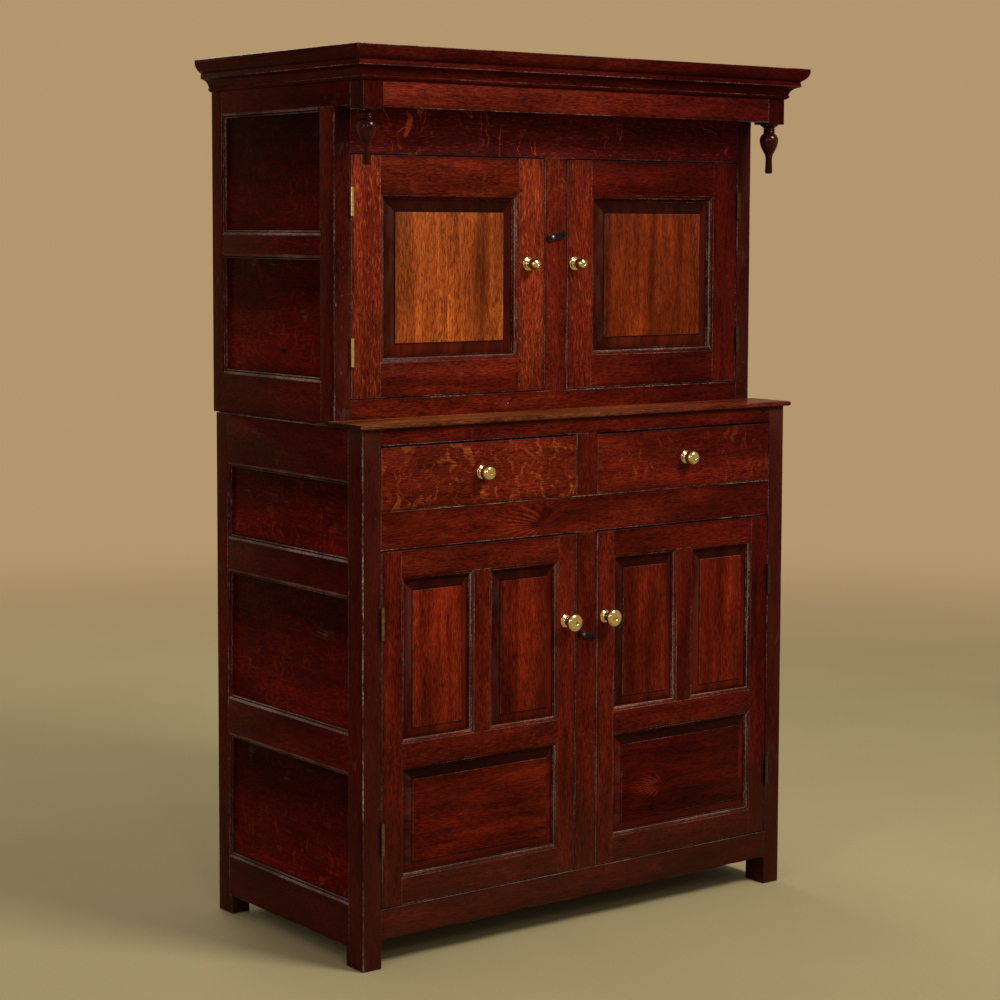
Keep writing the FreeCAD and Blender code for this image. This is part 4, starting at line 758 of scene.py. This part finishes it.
def turned_line(stretches, radius, length):
    """The outline of turned work, as stretches that each go on from the end of the one before.

    A stretch to one point is a straight cut, and one through more points is smooth.
    """
    outline, places = [], [Vector((0, 0))]
    for points in stretches:
        places = places[-1:] + [Vector((share * radius, along * length)) for share, along in points]
        if len(places) == 2:
            drawn = places
        else:
            ends = [places[0] * 2 - places[1]] + places + [places[-1] * 2 - places[-2]]
            drawn = [places[0]]
            for a, b, c, d in zip(ends, ends[1:], ends[2:], ends[3:]):
                for step in range(1, turned_steps + 1):
                    t = step / turned_steps
                    curve = 2 * b + (c - a) * t
                    curve += (2 * a - 5 * b + 4 * c - d) * t * t
                    curve += (3 * b - a - 3 * c + d) * t ** 3
                    drawn.append(0.5 * curve)
        outline += [
            place for place in drawn if not outline or (place - outline[-1]).length > least_turned_step
        ]
    return outline


def turned(points, faces, outline, foot, radial, along):
    """Adds a closed turned form to a mesh's points and faces."""
    other = along.cross(radial)
    first = len(points)
    for radius, length in outline:
        for index in range(turned_sides):
            turn = 2 * math.pi * index / turned_sides
            spoke = radial * math.cos(turn) + other * math.sin(turn)
            points.append(foot + along * length + spoke * max(radius, least_turned_radius))
    for row in range(len(outline) - 1):
        for index in range(turned_sides):
            after = (index + 1) % turned_sides
            near, far = first + row * turned_sides, first + (row + 1) * turned_sides
            faces.append((near + index, near + after, far + after, far + index))
    faces.append([first + index for index in reversed(range(turned_sides))])
    last = first + (len(outline) - 1) * turned_sides
    faces.append([last + index for index in range(turned_sides)])


def smooth_piece(name, points, faces, finish, body, slot, *nodes):
    """One smooth piece made of closed forms, in place of CAD nodes."""
    mesh = bpy.data.meshes.new(name)
    mesh.from_pydata([tuple(place) for place in points], [], faces)
    work = bmesh.new()
    work.from_mesh(mesh)
    bmesh.ops.remove_doubles(work, verts=work.verts, dist=same_place)
    bmesh.ops.recalc_face_normals(work, faces=work.faces)
    work.to_mesh(mesh)
    work.free()
    stand_in(mesh, finish, body, slot, *nodes)


drop_finish, start, shader = new_finish("drop_oak")
place = start.node("TexCoord", out="Object")
streak = place.noise((300.0, 300.0, 22.0), detail=3.0).rise(0.35, 0.65)
smoky = place.noise((60.0, 60.0, 40.0), detail=2.0).rise(0.40, 0.65)
stain = (streak * 0.5 + smoky * 0.5).mixed((0.004, 0.0004, 0.0005, 1), (0.050, 0.0036, 0.0030, 1))
fill(start.tree, shader, {"Base Color": stain, "Roughness": 0.05 + smoky * 0.03, "Specular IOR Level": 0.16})
drop_length, drop_radius = 0.106, 0.0205
drop_side, drop_front, drop_top = 0.528, -0.2415, 1.680
drop_stretches = (
    ((0.93, 0.0),), ((0.93, 0.025),), ((0.75, 0.045), (0.60, 0.066), (0.56, 0.08)),
    ((0.61, 0.090), (0.63, 0.102), (0.61, 0.114), (0.56, 0.124)),
    ((0.61, 0.134), (0.63, 0.146), (0.61, 0.158), (0.56, 0.168)),
    ((0.87, 0.23), (1.0, 0.32), (0.89, 0.43), (0.66, 0.53), (0.42, 0.62), (0.34, 0.70)),
    ((0.39, 0.955),), ((0.36, 0.985), (0.26, 1.0), (0.0, 1.0)),
)
forward, sideways, skyward = Vector((0, -1, 0)), Vector((1, 0, 0)), Vector((0, 0, 1))
points, faces = [], []
outline = turned_line(drop_stretches, drop_radius, drop_length)
for x in (-drop_side, drop_side):
    turned(points, faces, outline, Vector((x, drop_front, drop_top)), sideways, -skyward)
smooth_piece("turned_drops", points, faces, drop_finish, "case", "front_oak", "pendants")

# The brass: a turned knob on its rose for each door and drawer, and butt hinges
# let in to the edges of doors and posts.  Cast, filed, and worn bright by hands.
shaded_brown = (0.035, 0.018, 0.012, 1)
aged_brown = (0.085, 0.032, 0.018, 1)


def metal(name, bright, dull, rough):
    """Worn metal, dull in spots; the right hinges lie in shade, and the low left ones have browned."""
    material, start, shader = new_finish(name)
    place = start.node("TexCoord", out="Object")
    wear = place.noise((90.0, 90.0, 90.0), detail=4.0, roughness=0.6)
    scratch = place.noise((900.0, 900.0, 120.0), detail=2.0)
    tarnish = wear.rise(0.48, 0.72) * 0.8
    right, height = place.part(0), place.part(2)
    low_hinge = (right * -1.0).rise(0.49, 0.50) * (1.0 - height.rise(0.85, 0.90))
    colour = tarnish.mixed(bright, dull)
    colour = (right.rise(0.49, 0.50) * 0.93).mixed(colour, shaded_brown)
    colour = (low_hinge * (0.62 + wear * 0.5)).lower_of(0.95).mixed(colour, aged_brown)
    roughness = rough + tarnish * 0.2 + low_hinge * 0.25 + (wear - 0.5) * 0.1 + (scratch - 0.5) * 0.08
    fine = start.node("Bump", None, {"Strength": 0.15, "Distance": 0.0004, "Height": wear + scratch * 0.3})
    fill(start.tree, shader, {"Base Color": colour, "Roughness": roughness, "Normal": fine, "Metallic": 1.0})
    return material


brass_finish = metal("brass", (0.74, 0.63, 0.32, 1), (0.34, 0.23, 0.075, 1), 0.15)
iron_finish = metal("iron", (0.16, 0.15, 0.15, 1), (0.05, 0.04, 0.035, 1), 0.35)
rose_knob = {
    "drawer": (0.0160, 0.033, (
        ((0.85, 0.0),), ((0.85, 0.05), (0.78, 0.08)), ((0.62, 0.11), (0.46, 0.17), (0.42, 0.24)),
        ((0.60, 0.28), (0.85, 0.38), (1.0, 0.58), (0.95, 0.77), (0.68, 0.94), (0.20, 1.0)),
        ((0.13, 0.975), (0.0, 0.97)),
    )),
    "lower": (0.0190, 0.039, (
        ((0.70, 0.0),), ((0.70, 0.045), (0.63, 0.07)), ((0.44, 0.13), (0.34, 0.26), (0.33, 0.52)),
        ((0.56, 0.55), (0.88, 0.63), (1.0, 0.76), (0.90, 0.89), (0.60, 0.97), (0.20, 1.0)),
        ((0.12, 0.975), (0.0, 0.97)),
    )),
    "upper": (0.0125, 0.036, (
        ((1.16, 0.0),), ((1.16, 0.035), (1.08, 0.06)), ((0.80, 0.08), (0.60, 0.12), (0.52, 0.22)),
        ((0.72, 0.27), (0.93, 0.40), (1.0, 0.56), (0.93, 0.72), (0.68, 0.86), (0.30, 0.92)),
        ((0.18, 0.905), (0.0, 0.90)),
    )),
}
knob_places = {
    "left_drawer": ("drawer", -0.2705, 0.9685), "right_drawer": ("drawer", 0.2705, 0.9685),
    "lower_left_door": ("lower", -0.055, 0.647), "lower_right_door": ("lower", 0.050, 0.647),
    "upper_left_door": ("upper", -0.072, 1.380), "upper_right_door": ("upper", 0.051, 1.380),
}
for body, (kind, x, z) in knob_places.items():
    radius, reach, stretches = rose_knob[kind]
    foot = Vector((x, upper_front if kind == "upper" else lower_front, z))
    points, faces = [], []
    turned(points, faces, turned_line(stretches, radius, reach), foot, sideways, forward)
    node = body + ("_knob" if kind == "drawer" else "_knob_and_hinges")
    smooth_piece(body + "_brass_knob", points, faces, brass_finish, body, "brass", node)

leaf_thickness, leaf_width = 0.0016, 0.020
knuckle_radius, knuckle_edge, knuckle_gap = 0.004, 0.0003, 0.0003
leaf_overlap, pin_forward = 0.0004, 0.0044


def plate(points, faces, low, high):
    """Adds a closed flat plate to a mesh's points and faces."""
    first = len(points)
    points += [
        Vector((x, y, z)) for z in (low[2], high[2]) for y in (low[1], high[1]) for x in (low[0], high[0])
    ]
    for corners in ((0, 2, 3, 1), (4, 5, 7, 6), (0, 1, 5, 4), (2, 6, 7, 3), (0, 4, 6, 2), (1, 3, 7, 5)):
        faces.append([first + corner for corner in corners])


def butt_hinge(door, post, hand, axis, edges, face_y, middle, length):
    """One hinge: a leaf and a knuckle on the door, and a leaf and two knuckles on the post."""
    door_edge, post_edge = edges
    low, third = middle - length / 2, length / 3
    leaf_planes = ((post_edge, post_edge + leaf_thickness), (door_edge - leaf_thickness, door_edge))
    for (points, faces), planes in zip((post, door), leaf_planes):
        xs = sorted(plane * hand for plane in planes)
        plate(points, faces, (xs[0], face_y, low), (xs[1], face_y + leaf_width, low + length))
    for index in range(3):
        points, faces = door if index == 1 else post
        start = low + index * third + (knuckle_gap / 2 if index else 0)
        end = low + (index + 1) * third - (knuckle_gap / 2 if index < 2 else 0)
        xs = sorted(plane * hand for plane in leaf_planes[index % 2])
        plate(points, faces, (xs[0], axis[1], start), (xs[1], face_y + leaf_overlap, end))
        rise, neck = end - start, knuckle_radius - knuckle_edge
        outline = [
            Vector((0, 0)), Vector((neck, 0)), Vector((knuckle_radius, knuckle_edge)),
            Vector((knuckle_radius, rise - knuckle_edge)), Vector((neck, rise)), Vector((0, rise)),
        ]
        turned(points, faces, outline, Vector((axis[0] * hand, axis[1], start)), sideways, skyward)


post_leaves = ([], [])
screws = {"case": []}
screw_rows, screw_spread = ((-1, 0.010), (0, 0.014), (1, 0.010)), 0.31
for level, face_y, door_edge, post_edge, zs, inset, length in (
    ("upper", upper_front, 0.510, 0.512, (1.117, 1.5965), 0.092, 0.057),
    ("lower", lower_front, 0.512, 0.514, (0.121, 0.8255), 0.139, 0.064),
):
    axis = ((door_edge + post_edge) / 2, face_y - pin_forward)
    for side, hand in (("left", -1), ("right", 1)):
        body = f"{level}_{side}_door"
        screws[body] = []
        door_leaves = ([], [])
        for middle in (zs[0] + inset, zs[1] - inset):
            butt_hinge(door_leaves, post_leaves, hand, axis, (door_edge, post_edge), face_y, middle, length)
            for step, set_back in screw_rows:
                place = (face_y + set_back, middle + step * length * screw_spread)
                screws[body].append(((door_edge * hand, *place), (hand, 0, 0)))
                screws["case"].append(((post_edge * hand, *place), (-hand, 0, 0)))
        smooth_piece(body + "_hinge_leaves", *door_leaves, brass_finish, body, "brass",
                     body + "_knob_and_hinges")
smooth_piece("post_leaves", *post_leaves, brass_finish, "case", "brass", "post_hinge_leaves")
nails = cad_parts["button_nails"]
nails.data.materials.clear()
nails.data.materials.append(iron_finish)

# Pegs, screws and nails: cleft oak pegs hold the tenons, slotted screws the hinges
# and three of the knobs, and hand-made nails the back boards and the drawer boxes.
# One nail head shows in the rail above the top board.
slot_length = 0.02


def driven_tree():
    """A tree that sets a low head, slotted or not, on each point, square to the point's aim."""
    tree = bpy.data.node_groups.new("driven_heads", "GeometryNodeTree")
    for name, kind in (
        ("Points", "Geometry"), ("Radius", "Float"), ("Height", "Float"), ("Crown", "Float"),
        ("Slot", "Float"), ("Sides", "Int"), ("Finish", "Material"),
    ):
        tree.interface.new_socket(name, in_out="INPUT", socket_type="NodeSocket" + kind)
    tree.interface.new_socket("Heads", in_out="OUTPUT", socket_type="NodeSocketGeometry")

    def add(kind, settings=None, sockets=None):
        return new_node(tree, kind, settings, sockets)

    given = add("NodeGroupInput")
    crown = add("ShaderNodeMath", {"operation": "MULTIPLY"}, {0: given["Radius"], 1: given["Crown"]})
    head = add("GeometryNodeMeshCone", {"fill_type": "NGON"}, {
        "Vertices": given["Sides"], "Radius Top": crown[0], "Radius Bottom": given["Radius"],
        "Depth": given["Height"],
    })
    bar_size = add("ShaderNodeCombineXYZ", None, {0: slot_length, 1: given["Slot"], 2: given["Slot"]})
    bar = add("GeometryNodeMeshCube", None, {"Size": bar_size[0]})
    lift = add("ShaderNodeCombineXYZ", None, {2: given["Height"]})
    raised = add("GeometryNodeTransform", None, {"Geometry": bar["Mesh"], "Translation": lift[0]})
    cut = add("GeometryNodeMeshBoolean", {"operation": "DIFFERENCE"}, {
        "Mesh 1": head["Mesh"], "Mesh 2": raised["Geometry"],
    })
    slotted = add("FunctionNodeCompare", {"data_type": "FLOAT", "operation": "GREATER_THAN"}, {
        0: given["Slot"],
    })
    chosen = add("GeometryNodeSwitch", {"input_type": "GEOMETRY"}, {
        "Switch": slotted[0], "False": head["Mesh"], "True": cut["Mesh"],
    })
    aim = add("GeometryNodeInputNamedAttribute", {"data_type": "FLOAT_VECTOR"}, {"Name": "aim"})
    square = add("FunctionNodeAlignRotationToVector", None, {"Vector": aim["Attribute"]})
    spun = add("FunctionNodeRandomValue", {"data_type": "FLOAT"}, {3: 2 * math.pi, "Seed": 5})
    spin = add("ShaderNodeCombineXYZ", None, {2: spun[1]})
    twisted = add("FunctionNodeRotateRotation", {"rotation_space": "LOCAL"}, {0: square[0], 1: spin[0]})
    size = add("FunctionNodeRandomValue", {"data_type": "FLOAT"}, {2: 0.88, 3: 1.08, "Seed": 8})
    stand = add("GeometryNodeInstanceOnPoints", None, {
        "Points": given["Points"], "Instance": chosen[0], "Rotation": twisted[0], "Scale": size[1],
    })
    real = add("GeometryNodeRealizeInstances", None, {0: stand["Instances"]})
    painted = add("GeometryNodeSetMaterial", None, {"Geometry": real[0], "Material": given["Finish"]})
    add("NodeGroupOutput", None, {"Heads": painted[0]})
    return tree


def driven(tree, name, body, slot, places, finish, **sizes):
    """Heads at a body's places, each given as a point on the face and the way it looks."""
    sunk = sizes["Height"] - sizes.pop("Proud")
    mesh = bpy.data.meshes.new(name + "_points")
    mesh.from_pydata([Vector(point) - Vector(aim) * sunk for point, aim in places], [], [])
    aims = mesh.attributes.new("aim", "FLOAT_VECTOR", "POINT")
    aims.data.foreach_set("vector", [number for _, aim in places for number in aim])
    seat = bpy.data.objects.new(name + "_points", mesh)
    bpy.context.scene.collection.objects.link(seat)
    modifier = seat.modifiers.new("heads", "NODES")
    modifier.node_group = tree
    for item in tree.interface.items_tree:
        if item.in_out == "INPUT" and item.name in sizes:
            modifier[item.identifier] = sizes[item.name]
        elif item.in_out == "INPUT" and item.name == "Finish":
            modifier[item.identifier] = finish
    bpy.context.view_layer.update()
    made = bpy.data.meshes.new_from_object(seat.evaluated_get(bpy.context.evaluated_depsgraph_get()))
    seat.modifiers.remove(modifier)
    bpy.data.objects.remove(seat)
    made.name = name
    if not made.materials:
        made.materials.append(finish)
    piece = bpy.data.objects.new(name, made)
    bpy.context.scene.collection.objects.link(piece)
    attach(piece, body)


least_tenon, least_tenon_width = 0.005, 0.014
one_peg_height, peg_spread = 0.030, 0.26


def joints_of(nodes, side=False):
    """Where tenons sit: the shared room of two members, seen on the outer face."""
    members = [box_of(triangles) for node in nodes for triangles in solids_of(node)]
    found = []
    for index, (low, high) in enumerate(members):
        for other_low, other_high in members[index + 1:]:
            start = [max(a, b) for a, b in zip(low, other_low)]
            end = [min(a, b) for a, b in zip(high, other_high)]
            spans = [b - a for a, b in zip(start, end)]
            if min(spans) < least_tenon or max(spans) < least_tenon_width:
                continue
            x, y, z = ((a + b) / 2 for a, b in zip(start, end))
            for rise in (-peg_spread, peg_spread) if spans[2] > one_peg_height else (0.0,):
                level = z + rise * spans[2]
                if side:
                    hand = 1 if x > 0 else -1
                    edge = min(high[0], other_high[0]) if hand > 0 else max(low[0], other_low[0])
                    found.append(((edge, y, level), (hand, 0, 0)))
                else:
                    found.append(((x, max(low[1], other_low[1]), level), (0, -1, 0)))
    return found


peg_finish, start, shader = new_finish("peg_oak")
place = start.node("TexCoord", out="Object")
ends = place.noise((700.0, 700.0, 700.0), detail=2.0).rise(0.35, 0.65)
peg_brown = ends.mixed((0.018, 0.0014, 0.0009, 1), (0.090, 0.0110, 0.0040, 1))
fill(start.tree, shader, {
    "Base Color": peg_brown, "Roughness": 0.35 + ends * 0.15, "Specular IOR Level": 0.03,
})
heads = driven_tree()
peg = {"Radius": 0.0036, "Height": 0.0012, "Proud": 0.00025, "Crown": 0.85, "Slot": 0.0, "Sides": 9}
for level in ("upper", "lower"):
    for hand in ("left", "right"):
        body = f"{level}_{hand}_door"
        driven(heads, body + "_pegs", body, "front_oak", joints_of([body + "_frame"]), peg_finish, **peg)
side_pegs = joints_of(["lower_posts", "lower_side_rails"], side=True)
side_pegs += joints_of(["upper_posts", "upper_side_rails"], side=True)
driven(heads, "side_pegs", "case", "side_oak", side_pegs, peg_finish, **peg)
front_pegs = joints_of([
    "lower_posts", "lower_front_bottom_rail", "lower_drawer_rail", "lower_front_top_rail",
])
front_pegs += joints_of(["upper_posts", "upper_front_bottom_rail", "upper_front_top_rail"])
driven(heads, "front_pegs", "case", "front_oak", front_pegs, peg_finish, **peg)
screw = {"Radius": 0.0027, "Height": 0.0006, "Proud": 0.0002, "Crown": 0.9, "Slot": 0.0006, "Sides": 14}
for body, places in screws.items():
    driven(heads, body + "_hinge_screws", body, "brass", places, brass_finish, **screw)
for body, front, head_radius in (
    ("lower_left_door", lower_front, 0.0030), ("lower_right_door", lower_front, 0.0030),
    ("upper_right_door", upper_front, 0.0022),
):
    kind, x, z = knob_places[body]
    _, reach, stretches = rose_knob[kind]
    seat = (x, front - reach * stretches[-1][-1][1], z)
    knob_screw = dict(screw, Radius=head_radius, Height=0.0014, Proud=0.0005, Slot=0.0008)
    driven(heads, body + "_knob_screw", body, "iron", [(seat, (0, -1, 0))], iron_finish, **knob_screw)
nail = {"Radius": 0.0042, "Height": 0.0016, "Proud": 0.0010, "Crown": 0.45, "Slot": 0.0, "Sides": 7}
nail_pairs, pair_spread, nail_inset = 5, 0.28, 0.030
case_nails = [(rail_nail, (0, -1, 0))]
back_low, back_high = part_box("lower_back_boards")
for pair in range(nail_pairs):
    for aside in (-pair_spread, pair_spread):
        x = back_low[0] + (back_high[0] - back_low[0]) * (pair + 0.5 + aside) / nail_pairs
        for z in (back_low[2] + nail_inset, back_high[2] - nail_inset):
            case_nails.append(((x, back_high[1], z), (0, 1, 0)))
driven(heads, "case_nails", "case", "iron", case_nails, iron_finish, **nail)
drawer_nail = dict(nail, Radius=0.0030, Height=0.0010, Proud=0.0003)
front_set_back, back_set_back, nail_heights = 0.007, 0.006, (0.030, 0.060, 0.090)
for hand in ("left", "right"):
    low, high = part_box(hand + "_drawer_box")
    places = [
        ((x, low[1] + set_back, low[2] + rise), (aim, 0, 0))
        for x, aim in ((low[0], -1), (high[0], 1))
        for set_back in (front_set_back, high[1] - low[1] - back_set_back) for rise in nail_heights
    ]
    driven(heads, hand + "_drawer_nails", hand + "_drawer", "iron", places, iron_finish, **drawer_nail)

# The room: a pale floor that runs out into a plain pale background, soft lights,
# and the camera where the photograph was taken from.
background = (0.455, 0.308, 0.155, 1)
far_off = 20
corners = [(-far_off, -far_off, 0), (far_off, -far_off, 0), (far_off, far_off, 0), (-far_off, far_off, 0)]
floor_mesh = bpy.data.meshes.new("floor")
floor_mesh.from_pydata(corners, [], [(0, 1, 2, 3)])
floor = bpy.data.objects.new("floor", floor_mesh)
bpy.context.scene.collection.objects.link(floor)
floor_finish, start, shader = new_finish("floor")
place = start.node("TexCoord", out="Object")
weave = place.noise((160.0, 160.0, 160.0), detail=3.0)
patch = place.noise((1.5, 1.5, 1.5), detail=2.0)
pale = (weave * 0.5 + patch * 0.5).mixed((0.325, 0.255, 0.122, 1), (0.45, 0.360, 0.180, 1))
fill(start.tree, shader, {"Base Color": pale, "Roughness": 0.9, "Specular IOR Level": 0.1})
distance = place.node("VectorMath", {"operation": "LENGTH"}, {0: place}, out="Value")
in_view = start.node("LightPath", out="Is Camera Ray").higher_of(start.node("LightPath", out="Is Glossy Ray"))
far = distance.rise(2.2, 6.0) * in_view
glow = start.node("Emission", None, {"Color": background, "Strength": 1.0})
surface = start.node("MixShader", None, {0: far, 1: Wire(start.tree, shader.outputs[0]), 2: glow})
fill(start.tree, start.tree.nodes["Material Output"], {"Surface": surface})
floor_mesh.materials.append(floor_finish)

world = bpy.data.worlds.new("studio")
bpy.context.scene.world = world
world.use_nodes = True
sky = Wire(world.node_tree)
seen = sky.node("LightPath", out="Is Camera Ray").higher_of(sky.node("LightPath", out="Is Glossy Ray"))
seen = seen.higher_of(sky.node("LightPath", out="Is Transmission Ray"))
fill(sky.tree, sky.tree.nodes["Background"], {"Color": seen.mixed((0.34, 0.33, 0.32, 1), background)})


def soft_light(name, place, target, width, height, power):
    lamp = bpy.data.lights.new(name, "AREA")
    lamp.shape = "RECTANGLE"
    lamp.size = width
    lamp.size_y = height
    lamp.energy = power
    holder = bpy.data.objects.new(name, lamp)
    holder.location = place
    holder.rotation_euler = (Vector(target) - Vector(place)).to_track_quat("-Z", "Y").to_euler()
    bpy.context.scene.collection.objects.link(holder)


soft_light("key_light", (1.0, -3.1, 3.9), (0.0, -0.1, 1.0), width=1.3, height=1.3, power=153.0)
soft_light("fill_light", (-3.8, -1.6, 2.4), (0.0, 0.0, 0.9), width=1.4, height=1.8, power=18.0)
soft_light("camera_side_light", (-2.3, -4.3, 2.7), (0.0, -0.1, 1.0), width=0.28, height=0.40, power=18.0)
soft_light("rear_light", (0.5, 3.5, 3.2), (0.0, 0.0, 1.0), width=2.0, height=1.5, power=60.0)

camera_place = Vector((-3.0772, -4.0405, 1.4551))
yaw, pitch, roll = 0.6472, 0.08, 0.0032
focal_pixels, frame_pixels, axis_row = 2368.39, 1000.0, 417.24
sensor_width = 36.0
level_ahead = Vector((math.sin(yaw), math.cos(yaw), 0))
level_right = Vector((math.cos(yaw), -math.sin(yaw), 0))
ahead = level_ahead * math.cos(pitch) - skyward * math.sin(pitch)
tilted_up = skyward * math.cos(pitch) + level_ahead * math.sin(pitch)
right = level_right * math.cos(roll) + tilted_up * math.sin(roll)
up = tilted_up * math.cos(roll) - level_right * math.sin(roll)
camera_data = bpy.data.cameras.new("camera")
camera_data.sensor_width = sensor_width
camera_data.lens = focal_pixels / frame_pixels * sensor_width
camera_data.shift_y = (axis_row - frame_pixels / 2) / frame_pixels
camera = bpy.data.objects.new("camera", camera_data)
camera.matrix_world = Matrix((
    (right.x, up.x, -ahead.x, camera_place.x),
    (right.y, up.y, -ahead.y, camera_place.y),
    (right.z, up.z, -ahead.z, camera_place.z),
    (0, 0, 0, 1),
))
bpy.context.scene.collection.objects.link(camera)
bpy.context.scene.camera = camera
bpy.context.scene.view_settings.view_transform = "Standard"
